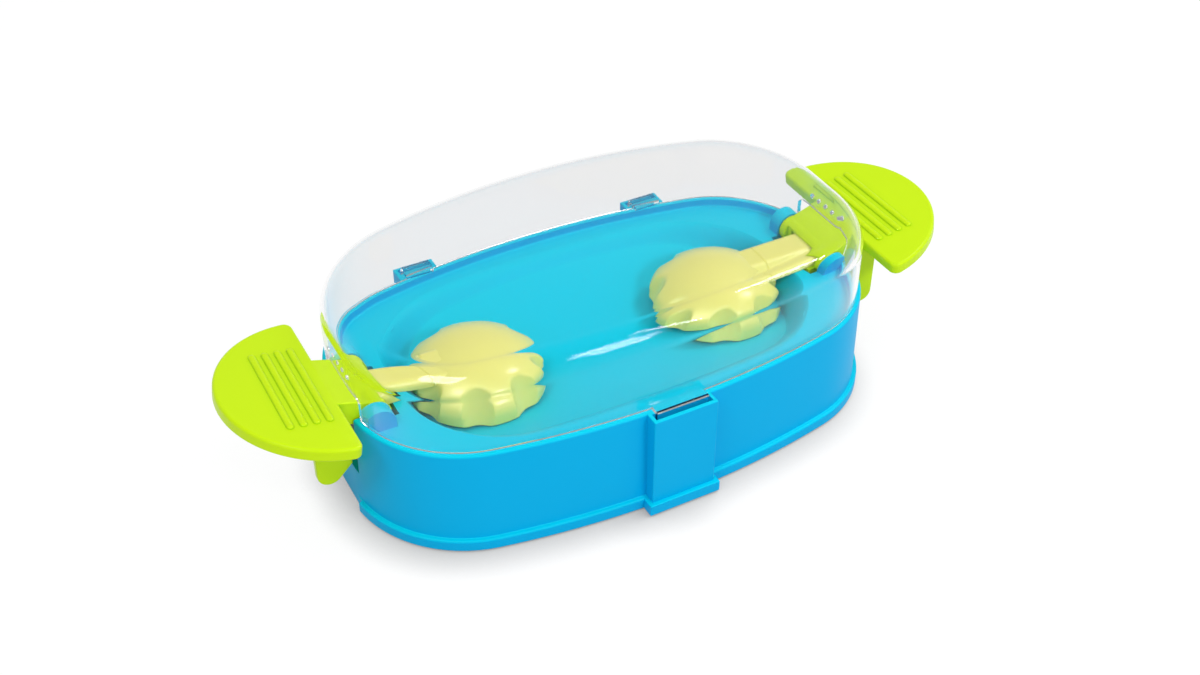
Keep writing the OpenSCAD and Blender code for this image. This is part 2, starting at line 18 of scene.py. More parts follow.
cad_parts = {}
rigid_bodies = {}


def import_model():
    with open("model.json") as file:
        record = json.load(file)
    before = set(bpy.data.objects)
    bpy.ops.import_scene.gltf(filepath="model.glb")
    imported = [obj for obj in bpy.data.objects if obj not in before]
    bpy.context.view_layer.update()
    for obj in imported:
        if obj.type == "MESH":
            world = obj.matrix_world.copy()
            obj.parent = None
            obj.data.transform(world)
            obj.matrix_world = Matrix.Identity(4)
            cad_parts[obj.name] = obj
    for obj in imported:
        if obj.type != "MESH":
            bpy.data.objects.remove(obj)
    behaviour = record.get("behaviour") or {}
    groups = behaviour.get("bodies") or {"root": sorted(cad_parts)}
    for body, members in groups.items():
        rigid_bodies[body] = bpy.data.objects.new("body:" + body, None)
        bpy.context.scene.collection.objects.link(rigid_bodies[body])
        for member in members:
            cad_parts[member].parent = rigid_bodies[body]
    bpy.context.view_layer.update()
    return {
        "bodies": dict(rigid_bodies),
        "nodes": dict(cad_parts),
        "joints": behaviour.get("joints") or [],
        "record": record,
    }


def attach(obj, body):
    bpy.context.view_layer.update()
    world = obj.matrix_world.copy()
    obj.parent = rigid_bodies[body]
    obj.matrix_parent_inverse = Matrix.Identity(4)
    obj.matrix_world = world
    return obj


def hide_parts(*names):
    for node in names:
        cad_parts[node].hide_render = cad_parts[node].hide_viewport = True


LOG = logging.getLogger("treat_puzzle")

MM = 0.001
PHOTO_WIDTH_PX = 1200
SENSOR_MM = 36.0
MERGE = 1e-6
SMOOTH_ANGLE = math.radians(32)
ROUND = {"offset_type": "OFFSET", "profile": 0.5, "material": -1}
FIRST_BOUNCE = 0.5
UP = Vector((0, 0, 1))
WHITE = (1.0, 1.0, 1.0, 1.0)

Colour = tuple[float, float, float, float]
Turn = tuple[Vector, float, int]
Node = bpy.types.Node
Piece = bpy.types.Object
Socket = bpy.types.NodeSocket


class Side(Enum):
    """End of the toy that a lever works at, with its sign along X."""

    LEFT = -1
    RIGHT = 1

    @property
    def word(self) -> str:
        """Name of the side, as the nodes use it."""
        return self.name.lower()


class Join(Enum):
    """Way in which a tool shape changes a piece."""

    ADD = "UNION"
    CUT = "DIFFERENCE"
    KEEP = "INTERSECT"


def at(x: float = 0.0, y: float = 0.0, z: float = 0.0) -> Vector:
    """Point or offset from its coordinates in metres."""
    return Vector((x, y, z))


def mm(x: float, y: float, z: float) -> Vector:
    """Point from its coordinates in millimetres."""
    return at(x, y, z) * MM


def grey(level: float) -> Colour:
    """Shader colour that is neither warm nor cool."""
    return level, level, level, 1.0


def linear(red: int, green: int, blue: int) -> Colour:
    """Shader colour from the usual 0 to 255 screen values.

    Args:
        red: Screen value of red.
        green: Screen value of green.
        blue: Screen value of blue.

    Returns:
        Linear colour with full alpha.
    """

    def decode(value: int) -> float:
        """Undo the screen curve of one channel."""
        share = value / 255
        return share / 12.92 if share <= 0.04045 else ((share + 0.055) / 1.055) ** 2.4

    return decode(red), decode(green), decode(blue), 1.0


class NodeBench:
    """Small helper that lays out one material's or world's nodes."""

    def __init__(self, tree: bpy.types.NodeTree) -> None:
        """Start from an empty tree.

        Args:
            tree: Node tree to fill.
        """
        self.tree = tree
        tree.nodes.clear()

    @classmethod
    def material(cls, name: str) -> tuple[bpy.types.Material, NodeBench]:
        """Start a new material.

        Args:
            name: Name of the material.

        Returns:
            The material and the bench that fills it.
        """
        made = bpy.data.materials.new(name)
        made.use_nodes = True
        return made, cls(made.node_tree)

    def give(self, socket: Socket, value: object) -> None:
        """Link a socket to its source, or set its value.

        Args:
            socket: Socket to fill.
            value: Its source, or its plain value.
        """
        if isinstance(value, Socket):
            self.tree.links.new(value, socket)
        else:
            socket.default_value = value

    def add(self, kind: str, **values: object) -> Node:
        """Add a node and set its sockets and plain properties.

        Args:
            kind: Blender's node type without its prefix.
            values: Values or sources of sockets, with underscores for spaces, or properties by name.

        Returns:
            The new node.
        """
        node = self.tree.nodes.new(f"ShaderNode{kind}")
        for key, value in values.items():
            socket = node.inputs.get(key.replace("_", " "))
            if socket is None:
                setattr(node, key, value)
            else:
                self.give(socket, value)
        return node

    def maths(self, operation: str, first: Socket, second: Socket | float) -> Socket:
        """Work out one value from two.

        Args:
            operation: Blender's name of the operation.
            first: Source of the first value.
            second: Second value, or its source.

        Returns:
            Socket of the result.
        """
        node = self.add("Math", operation=operation)
        self.give(node.inputs[0], first)
        self.give(node.inputs[1], second)
        return node.outputs[0]

    def ranged(self, value: Socket, **limits: float) -> Socket:
        """Map a value from one range onto another, by the names of the map node's sockets."""
        return self.add("MapRange", Value=value, **limits).outputs["Result"]

    def noise(self, scale: float, detail: float) -> Socket:
        """Noise that is fixed to the object."""
        place = self.add("TexCoord").outputs["Object"]
        return self.add("TexNoise", Vector=place, Scale=scale, Detail=detail).outputs["Fac"]

    def openness(self, reach: float, samples: int, **more: object) -> Socket:
        """How open a place is within a reach, from 0 in a closed nook to 1 in the open."""
        return self.add("AmbientOcclusion", Distance=reach, samples=samples, **more).outputs["AO"]

    def blend(self, share: Socket, start: Socket | Colour, end: Colour) -> Socket:
        """Blend two colours.

        Args:
            share: Socket that tells how much of the second colour shows.
            start: First colour, or the socket that gives it.
            end: Second colour.

        Returns:
            Socket of the blended colour.
        """
        mix = self.add("Mix", data_type="RGBA", Factor=share)
        first, second = (socket for socket in mix.inputs if socket.type == "RGBA")
        self.give(first, start)
        self.give(second, end)
        return next(socket for socket in mix.outputs if socket.type == "RGBA")

    def mixed(self, share: Socket, first: Node, second: Node) -> Node:
        """Mix two shaders.

        Args:
            share: How much of the second shader shows.
            first: First shader.
            second: Second shader.

        Returns:
            The mixed shader.
        """
        mix = self.add("MixShader")
        for socket, source in zip(mix.inputs, (share, first.outputs[0], second.outputs[0])):
            self.give(socket, source)
        return mix

    def seen_directly(self) -> Socket:
        """Light path test for camera, glossy and transmitted rays that met no dull surface before.

        Returns:
            Socket that is 1 for those rays and 0 for the light that the object receives.
        """
        path = self.add("LightPath").outputs
        seen = path["Is Camera Ray"]
        for kind in ("Is Glossy Ray", "Is Transmission Ray"):
            seen = self.maths("MAXIMUM", seen, path[kind])
        return self.maths("MULTIPLY", seen, self.maths("LESS_THAN", path["Diffuse Depth"], FIRST_BOUNCE))

    def finish(self, shader: Node, output: str = "OutputMaterial") -> None:
        """Send a shader to the tree's output."""
        self.add(output, Surface=shader.outputs[0])


@dataclass(frozen=True)
class MouldedPlastic:
    """Coloured injection-moulded plastic with a faint flow pattern and a fine spark-eroded grain,
    optionally with painted light on upward faces and painted shade in creases.
    """

    name: str
    colour: Colour
    flow_colour: Colour
    roughness: float = 0.38
    roughness_spread: float = 0.06
    specular: float = 0.35
    ior: float = 1.5
    # Painted light: a lighter tone blended onto faces that point up, standing in for light from above.
    top_colour: Colour | None = None
    top_start: float = 0.1
    top_full: float = 0.9
    # Painted shade: a darker colour blended in where ambient occlusion finds creases and valleys.
    crease_colour: Colour | None = None
    crease_reach: float = 4 * MM
    crease_full: float = 0.55
    crease_samples: int = 8
    glow: float = 0.0
    glow_depth: float = 4 * MM
    glow_spread: tuple[float, float, float] = (1.0, 0.9, 0.6)
    flow_scale: float = 9.0
    flow_detail: float = 3.0
    grain_scale: float = 900.0
    grain_detail: float = 2.0
    grain_depth: float = 0.06
    grain_height: float = 0.2 * MM

    def material(self) -> bpy.types.Material:
        """Build the shader.

        Returns:
            The finished material.
        """
        made, bench = NodeBench.material(self.name)
        flow = bench.noise(self.flow_scale, self.flow_detail)
        colour = bench.blend(flow, self.colour, self.flow_colour)
        # Painted light: blend towards the lighter top tone by how far each face points up.
        if self.top_colour:
            normal = bench.add("NewGeometry").outputs["Normal"]
            facing = bench.add("SeparateXYZ", Vector=normal).outputs["Z"]
            top_light_share = bench.ranged(facing, From_Min=self.top_start, From_Max=self.top_full)
            colour = bench.blend(top_light_share, colour, self.top_colour)
        # Painted shade: darken the colour in nooks by ambient occlusion within a short reach.
        if self.crease_colour:
            near = bench.openness(self.crease_reach, self.crease_samples, only_local=True)
            crease_shade_share = bench.ranged(near, From_Min=1.0, From_Max=self.crease_full)
            colour = bench.blend(crease_shade_share, colour, self.crease_colour)
        low, high = self.roughness - self.roughness_spread, self.roughness + self.roughness_spread
        grain = bench.noise(self.grain_scale, self.grain_detail)
        bump = bench.add("Bump", Height=grain, Strength=self.grain_depth, Distance=self.grain_height)
        bench.finish(
            bench.add(
                "BsdfPrincipled",
                Base_Color=colour,
                Roughness=bench.ranged(flow, To_Min=low, To_Max=high),
                Normal=bump.outputs["Normal"],
                IOR=self.ior,
                Specular_IOR_Level=self.specular,
                Subsurface_Weight=self.glow,
                Subsurface_Radius=self.glow_spread,
                Subsurface_Scale=self.glow_depth,
            )
        )
        return made


@dataclass(frozen=True)
class ClearPlastic:
    """Clear polished plastic that lets light straight through to what it covers."""

    name: str
    tint: Colour
    ior: float = 1.46
    sheen: float = 0.25
    lit: float = 0.5
    trapped: float = 2.5
    roughness: float = 0.03
    ripple_scale: float = 14.0
    ripple_detail: float = 1.0
    ripple_depth: float = 0.04
    ripple_height: float = 1 * MM

    def material(self) -> bpy.types.Material:
        """Build the shader.

        Returns:
            The finished material.
        """
        made, bench = NodeBench.material(self.name)
        ripple = bench.noise(self.ripple_scale, self.ripple_detail)
        bump = bench.add("Bump", Height=ripple, Strength=self.ripple_depth, Distance=self.ripple_height)
        glass = bench.add(
            "BsdfPrincipled",
            Base_Color=self.tint,
            Roughness=self.roughness,
            IOR=self.ior,
            Normal=bump.outputs["Normal"],
            Transmission_Weight=1.0,
            Specular_Tint=grey(self.sheen),
        )
        clear = bench.add("BsdfTransparent", Color=tuple(math.sqrt(share) for share in self.tint))
        path = bench.add("LightPath").outputs
        through = path["Is Shadow Ray"]
        for depth, limit in (("Diffuse Depth", self.lit), ("Glossy Depth", self.trapped)):
            through = bench.maths("MAXIMUM", through, bench.maths("GREATER_THAN", path[depth], limit))
        bench.finish(bench.mixed(through, glass, clear))
        return made


@dataclass(frozen=True)
class BrushedPin:
    """Drawn steel pin or screw with fine lines along it."""

    name: str
    colour: Colour
    roughness_low: float = 0.2
    roughness_high: float = 0.4
    line_scale: float = 700.0
    line_detail: float = 2.0

    def material(self) -> bpy.types.Material:
        """Build the shader.

        Returns:
            The finished material.
        """
        made, bench = NodeBench.material(self.name)
        lines = bench.noise(self.line_scale, self.line_detail)
        dull = bench.ranged(lines, To_Min=self.roughness_low, To_Max=self.roughness_high)
        bench.finish(bench.add("BsdfPrincipled", Base_Color=self.colour, Metallic=1.0, Roughness=dull))
        return made


@dataclass(frozen=True)
class Finishes:
    """The toy's finishes, one per material slot of the record."""

    blue: MouldedPlastic = MouldedPlastic(
        "blue_plastic", linear(0, 177, 231), linear(0, 173, 228), roughness=0.4, specular=0.07,
        # Painted light: a lighter, more cyan tone on upward faces such as the tray and rim.
        top_colour=linear(0, 205, 233),
    )
    lime: MouldedPlastic = MouldedPlastic(
        "lime_plastic", linear(199, 234, 10), linear(195, 231, 8), roughness=0.32, specular=0.16, glow=0.08,
        # Painted shade: darker lime in the rib valleys and other creases.
        crease_colour=linear(165, 213, 0),
    )
    yellow: MouldedPlastic = MouldedPlastic(
        "yellow_plastic", linear(241, 238, 136), linear(238, 234, 130), roughness=0.24, specular=0.4,
        glow=0.25,
    )
    clear: ClearPlastic = ClearPlastic("clear_plastic", (0.935, 0.935, 0.94, 1.0))
    steel: BrushedPin = BrushedPin("plated_steel", (0.55, 0.56, 0.57, 1.0))
    rubber: MouldedPlastic = MouldedPlastic(
        "foot_rubber", linear(60, 62, 64), linear(52, 54, 56), roughness=0.75, specular=0.2, grain_depth=0.2
    )


class Bench:
    """Mesh helpers that the mouldings share."""

    @staticmethod
    def wire(bm: BMesh, points: Sequence[Vector], closed: bool = False) -> list[BMEdge]:
        """Draw a wire through points.

        Args:
            bm: Mesh to draw in.
            points: Corners of the wire.
            closed: Whether the last corner joins the first.

        Returns:
            The wire's edges.
        """
        verts = [bm.verts.new(point) for point in points]
        ring = verts + verts[:1] if closed else verts
        return [bm.edges.new(pair) for pair in zip(ring, ring[1:])]

    @staticmethod
    def arcs(start: Vector, axis: Vector, turns: Iterable[Turn]) -> list[Vector]:
        """Points along arcs that follow one another.

        Args:
            start: First point.
            axis: Axis that all arcs turn about.
            turns: Centre, angle and steps of each arc.

        Returns:
            The points, with both ends.
        """
        points = [start]
        for centre, angle, steps in turns:
            out = points[-1] - centre
            for step in range(1, steps + 1):
                points.append(centre + Matrix.Rotation(angle * step / steps, 3, axis) @ out)
        return points

    @staticmethod
    def soften(bm: BMesh, edges: Iterable[BMEdge], radius: float, segments: int = 3) -> None:
        """Round edges of a solid.

        Args:
            bm: Mesh that holds them.
            edges: Edges to round.
            radius: Radius of the rounding.
            segments: Steps of the rounding.
        """
        parts = list(edges)
        bmesh.ops.bevel(
            bm, geom=parts, offset=radius, segments=segments, affect="EDGES", clamp_overlap=True, **ROUND
        )

    @staticmethod
    def round_corner(bm: BMesh, corner: Vector, radius: float, segments: int) -> None:
        """Round one corner of a wire.

        Args:
            bm: Mesh that holds the wire.
            corner: Place of the corner.
            radius: Radius of the rounding.
            segments: Steps of the rounding.
        """
        vert = min(bm.verts, key=lambda near: (near.co - corner).length)
        bmesh.ops.bevel(bm, geom=[vert], offset=radius, segments=segments, affect="VERTICES", **ROUND)

    @staticmethod
    def box(bm: BMesh, first: Vector, second: Vector, rounding: float = 0.0) -> list[BMVert]:
        """Make a block between two opposite corners.

        Args:
            bm: Mesh to add to.
            first: One corner.
            second: The opposite corner.
            rounding: Rounding of its edges.

        Returns:
            The block's corners, for a block that isn't rounded.
        """
        size = Vector(abs(step) for step in second - first)
        place = Matrix.Translation((first + second) / 2) @ Matrix.Diagonal((*size, 1))
        verts = bmesh.ops.create_cube(bm, size=1, matrix=place)["verts"]
        if rounding:
            Bench.soften(bm, Bench.edges_of(verts), rounding)
        return verts

    @staticmethod
    def edges_of(verts: Iterable[BMVert]) -> list[BMEdge]:
        """Edges with both ends among the vertices, each once."""
        ends = Counter(edge for vert in verts for edge in vert.link_edges)
        return [edge for edge, count in ends.items() if count == 2]

    @staticmethod
    def edges_across(bm: BMesh) -> list[BMEdge]:
        """Edges that keep to one Y."""
        return [edge for edge in bm.edges if abs(edge.verts[0].co.y - edge.verts[1].co.y) < MERGE]

    @staticmethod
    def rod(bm: BMesh, start: Vector, end: Vector, radius: float, segments: int = 48) -> None:
        """Make a closed round rod.

        Args:
            bm: Mesh to add to.
            start: Middle of one end.
            end: Middle of the other end.
            radius: Radius of the rod.
            segments: Sides of the rod.
        """
        along = end - start
        turn = along.to_track_quat("Z", "Y").to_matrix().to_4x4()
        bmesh.ops.create_cone(
            bm, cap_ends=True, segments=segments, radius1=radius, radius2=radius, depth=along.length,
            matrix=Matrix.Translation((start + end) / 2) @ turn,
        )

    @staticmethod
    def prism(bm: BMesh, edges: list[BMEdge], along: Vector) -> None:
        """Fill a closed flat wire and extrude it.

        Args:
            bm: Mesh that holds the wire.
            edges: Closed wire.
            along: Extrusion.
        """
        face = bmesh.ops.contextual_create(bm, geom=edges)["faces"][0]
        top = Bench.verts_in(bmesh.ops.extrude_face_region(bm, geom=[face], use_keep_orig=True)["geom"])
        bmesh.ops.translate(bm, verts=top, vec=along)
        solid = list(face.verts) + top
        bmesh.ops.recalc_face_normals(bm, faces=list({near for vert in solid for near in vert.link_faces}))

    @staticmethod
    def verts_in(parts: Iterable[object]) -> list[BMVert]:
        """Vertices among the parts that a mesh step hands back."""
        return [part for part in parts if isinstance(part, BMVert)]

    @staticmethod
    def opened(piece: Piece) -> BMesh:
        """Copy of a piece's mesh to work on.

        Args:
            piece: Piece to copy from.

        Returns:
            The copy.
        """
        bm = bmesh.new()
        bm.from_mesh(piece.data)
        return bm

    @staticmethod
    def merge(bm: BMesh, other: BMesh) -> None:
        """Move another mesh into this one.

        Args:
            bm: Mesh that receives it.
            other: Closed mesh to move, which is freed.
        """
        Bench.close(other)
        carrier = bpy.data.meshes.new("carrier")
        other.to_mesh(carrier)
        other.free()
        bm.from_mesh(carrier)
        bpy.data.meshes.remove(carrier)

    @staticmethod
    def mirrored(source: Piece) -> Piece:
        """Mirror image of a piece for the other end of the toy, shaded alike.

        Args:
            source: Piece to mirror.

        Returns:
            The new piece.
        """
        bm = Bench.opened(source)
        bmesh.ops.scale(bm, verts=bm.verts[:], vec=at(-1, 1, 1))
        bmesh.ops.reverse_faces(bm, faces=bm.faces[:])
        made = Bench.piece(source.name, bm)
        Bench.shade(made)
        return made

    @staticmethod
    def close(bm: BMesh) -> None:
        """Merge doubles and turn every face outwards.

        Args:
            bm: Mesh to clean.
        """
        bmesh.ops.remove_doubles(bm, verts=bm.verts[:], dist=MERGE)
        bmesh.ops.dissolve_degenerate(bm, dist=MERGE, edges=bm.edges[:])
        bmesh.ops.recalc_face_normals(bm, faces=bm.faces[:])

    @staticmethod
    def piece(name: str, bm: BMesh) -> Piece:
        """Turn a finished mesh into an object at the origin.

        Args:
            name: Name of the piece.
            bm: Its mesh, which is freed.

        Returns:
            The new object.
        """
        mesh = bpy.data.meshes.new(name)
        bm.to_mesh(mesh)
        bm.free()
        made = bpy.data.objects.new(name, mesh)
        bpy.context.scene.collection.objects.link(made)
        return made

    @staticmethod
    def combine(target: Piece, tool: BMesh, join: Join) -> None:
        """Change a piece by a tool shape.

        Args:
            target: Piece to change.
            tool: Closed tool shape, which is freed.
            join: Whether to add the tool, cut it away or keep what it covers.
        """
        Bench.close(tool)
        shape = Bench.piece("tool", tool)
        step = target.modifiers.new("join", "BOOLEAN")
        step.operation = join.value
        step.solver = "EXACT"
        step.object = shape
        graph = bpy.context.evaluated_depsgraph_get()
        result = bpy.data.meshes.new_from_object(target.evaluated_get(graph))
        target.modifiers.clear()
        before = target.data
        target.data = result
        result.name = target.name
        bpy.data.meshes.remove(before)
        bpy.data.meshes.remove(shape.data)

    @staticmethod
    def attach(target: Piece, extra: BMesh) -> None:
        """Sink a closed shape into a piece as it is.

        Args:
            target: Piece to change.
            extra: Closed shape, which is freed.
        """
        bm = Bench.opened(target)
        Bench.merge(bm, extra)
        bm.to_mesh(target.data)
        bm.free()

    @staticmethod
    def mould(
        name: str, body: BMesh, added: Iterable[BMesh], cut: Iterable[BMesh], sunk: Iterable[BMesh] = ()
    ) -> Piece:
        """Finish a moulding from its shapes.

        Args:
            name: Name of the moulding.
            body: Closed shape to start from.
            added: Shapes to join to it.
            cut: Shapes to cut from it.
            sunk: Shapes to sink into it as they are.

        Returns:
            The shaded moulding.
        """
        made = Bench.piece(name, body)
        for join, shapes in ((Join.ADD, added), (Join.CUT, cut)):
            for shape in shapes:
                Bench.combine(made, shape, join)
        for shape in sunk:
            Bench.attach(made, shape)
        Bench.shade(made)
        return made

    @staticmethod
    def shade(target: Piece) -> None:
        """Shade smooth, with edges kept where the surface turns sharply.

        Args:
            target: Piece to shade.
        """
        target.data.shade_smooth()
        target.data.set_sharp_from_angle(angle=SMOOTH_ANGLE)
        weights = target.modifiers.new("face_weights", "WEIGHTED_NORMAL")
        weights.keep_sharp = True


@dataclass(frozen=True)
class OvalPlan:
    """Plan of an oval moulding: straight ends, round corners and long bowed sides."""

    half_length: float
    half_width: float
    side_radius: float
    corner_radius: float
    corner_steps: int = 28
    side_steps: int = 18

    @property
    def side_centre(self) -> Vector:
        """Centre of the back side's arc."""
        return at(y=self.half_width - self.side_radius)

    @property
    def corner_centre(self) -> Vector:
        """Centre of the back right corner's arc.

        Returns:
            Its place in the plan.
        """
        reach = self.side_radius - self.corner_radius
        x = self.half_length - self.corner_radius
        return at(x, self.side_centre.y + math.sqrt(reach**2 - x**2))

    def sweep(self, bm: BMesh, profile: list[BMEdge]) -> None:
        """Carry a profile that stands on the X axis round a quarter of the plan.

        Args:
            bm: Mesh that holds the profile.
            profile: Wire to sweep.
        """
        made = bmesh.ops.extrude_edge_only(bm, edges=profile)["geom"]
        bmesh.ops.translate(bm, verts=Bench.verts_in(made), vec=at(y=self.corner_centre.y))
        gap = self.corner_centre - self.side_centre
        meeting = math.atan2(gap.y, gap.x)
        for centre, angle, steps in (
            (self.corner_centre, meeting, self.corner_steps),
            (self.side_centre, math.pi / 2 - meeting, self.side_steps),
        ):
            last = [part for part in made if isinstance(part, (BMVert, BMEdge))]
            made = bmesh.ops.spin(
                bm, geom=last, cent=centre, axis=UP, dvec=at(), angle=angle, steps=steps,
                use_duplicate=False,
            )["geom_last"]

    def plug(self, foot: float, top: float) -> BMesh:
        """Solid with this plan between two heights.

        Args:
            foot: Height of its underside.
            top: Height of its top.

        Returns:
            The closed solid.
        """
        bm = bmesh.new()
        self.sweep(bm, Bench.wire(bm, [at(self.half_length, 0, top), at(self.half_length, 0, foot)]))
        for height in (foot, top):
            self.reach_middle(bm, self.rim_at(bm, height))
        self.mirror(bm)
        return bm

    @staticmethod
    def rim(bm: BMesh, belongs: Callable[[BMVert], bool]) -> list[BMEdge]:
        """Open edges along the sweep that lie on one ring.

        Args:
            bm: Swept mesh.
            belongs: Test that tells the ring's vertices.

        Returns:
            The ring's open edges, without those on the mirror planes.
        """

        def on_plane(edge: BMEdge) -> bool:
            """Whether an edge lies on a mirror plane."""
            return any(all(abs(vert.co[axis]) < MERGE for vert in edge.verts) for axis in (0, 1))

        open_edges = [edge for edge in bm.edges if edge.is_boundary and not on_plane(edge)]
        return [edge for edge in open_edges if all(belongs(vert) for vert in edge.verts)]

    @staticmethod
    def rim_at(bm: BMesh, height: float) -> list[BMEdge]:
        """Open edges along the sweep at one height."""
        return OvalPlan.rim(bm, lambda vert: abs(vert.co.z - height) < MERGE)

    @staticmethod
    def reach_middle(bm: BMesh, ring: list[BMEdge], cuts: int = 0) -> None:
        """Extend a ring straight across to the long middle plane.

        Args:
            bm: Swept mesh.
            ring: Edges of the ring.
            cuts: Number of cuts across each strip.
        """
        verts = Bench.verts_in(bmesh.ops.extrude_edge_only(bm, edges=ring)["geom"])
        bmesh.ops.scale(bm, verts=verts, vec=at(1, 0, 1))
        if cuts:
            fresh = set(verts)
            links = [(edge, edge.other_vert(vert)) for vert in verts for edge in vert.link_edges]
            strips = [edge for edge, other in links if other not in fresh]
            bmesh.ops.subdivide_edges(bm, edges=strips, cuts=cuts, use_grid_fill=True)
        bmesh.ops.remove_doubles(bm, verts=bm.verts[:], dist=MERGE)

    @staticmethod
    def mirror(bm: BMesh) -> None:
        """Complete the plan from its quarter.

        Args:
            bm: Quarter of a moulding.
        """
        for axis in ("X", "Y"):
            parts = bm.verts[:] + bm.edges[:] + bm.faces[:]
            bmesh.ops.mirror(bm, geom=parts, matrix=Matrix.Identity(4), merge_dist=MERGE, axis=axis)
        Bench.close(bm)


@dataclass(frozen=True)
class ToySizes:
    """Driving sizes of the toy in metres, in a frame centred on the base's plan."""

    base_half_length: float = 133.5 * MM
    base_half_width: float = 76.5 * MM
    base_top: float = 55.5 * MM
    side_radius: float = 430 * MM
    corner_radius: float = 58 * MM
    wall: float = 2.5 * MM
    draft: float = 0.8 * MM
    band_height: float = 6 * MM
    band_out: float = 2.2 * MM
    stand: float = 0.8 * MM
    rim_width: float = 5 * MM
    ledge_drop: float = 4.5 * MM
    bowl_end: float = 28.5 * MM
    bowl_side: float = 13 * MM
    bowl_corner: float = 54 * MM
    bowl_depth: float = 17.5 * MM
    run_gap: float = 0.3 * MM
    pivot_x: float = 122.5 * MM
    pivot_z: float = 54.5 * MM
    hub_radius: float = 7 * MM
    tongue: float = 9.5 * MM
    hub_width: float = 35.5 * MM
    hub_room: float = 1.8 * MM
    neck_width: float = 34.5 * MM
    cheek: float = 4 * MM
    pin_radius: float = 2 * MM
    arm_width: float = 20 * MM
    arm_height: float = 7 * MM
    arm_end: float = 118.9 * MM
    screw_x: float = 115.95 * MM
    cover_inset: float = 1.8 * MM
    cover_wall: float = 2 * MM
    latch_width: float = 33 * MM
    latch_face: float = 83.3 * MM
    pocket_wall: float = 1.8 * MM
    hinge_x: float = 65 * MM
    hinge_width: float = 21 * MM
    hinge_y: float = 75.4 * MM
    hinge_z: float = 54.5 * MM
    bead: float = 1.6 * MM
    past: float = 2 * MM

    @property
    def ledge(self) -> float:
        """Height of the ledge inside the rim."""
        return self.base_top - self.ledge_drop

    @property
    def floor(self) -> float:
        """Lowest height of the bowl."""
        return self.ledge - self.bowl_depth

    @property
    def arm_bottom(self) -> float:
        """Height of the arms' undersides."""
        return self.ledge + self.run_gap

    @property
    def arm_top(self) -> float:
        """Height of the arms' tops."""
        return self.arm_bottom + self.arm_height

    @property
    def pivot(self) -> Vector:
        """Middle of the right-hand lever's pin."""
        return at(self.pivot_x, 0, self.pivot_z)

    @property
    def channel_half(self) -> float:
        """Half the width of a lever's channel."""
        return self.hub_width / 2 + self.run_gap

    @property
    def channel_start(self) -> float:
        """Inner end of a lever's channel."""
        return self.pivot_x - self.tongue - self.hub_room

    @property
    def channel_floor(self) -> float:
        """Height of a channel's floor."""
        return self.pivot_z - self.tongue - self.hub_room

    @property
    def mouth_half(self) -> float:
        """Half the width between a lever's cheeks."""
        return self.neck_width / 2 - self.cheek

    @property
    def cover_foot(self) -> float:
        """Height of the cover's lower edge."""
        return self.base_top + self.run_gap

    def plan(self, inset: float = 0.0) -> OvalPlan:
        """Plan of the base's rim, or of a line inside it.

        Args:
            inset: Distance of the line inside the rim.

        Returns:
            The plan.
        """
        return OvalPlan(
            self.base_half_length - inset,
            self.base_half_width - inset,
            self.side_radius - inset,
            self.corner_radius - inset,
        )

    def bowl_plan(self, grow: float = 0.0) -> OvalPlan:
        """Plan of the bowl's edge, or of a line outside it.

        Args:
            grow: Distance of the line outside the bowl's edge.

        Returns:
            The plan.
        """
        return OvalPlan(
            self.base_half_length - self.bowl_end + grow,
            self.base_half_width - self.bowl_side + grow,
            self.side_radius - self.bowl_side + grow,
            self.bowl_corner + grow,
        )


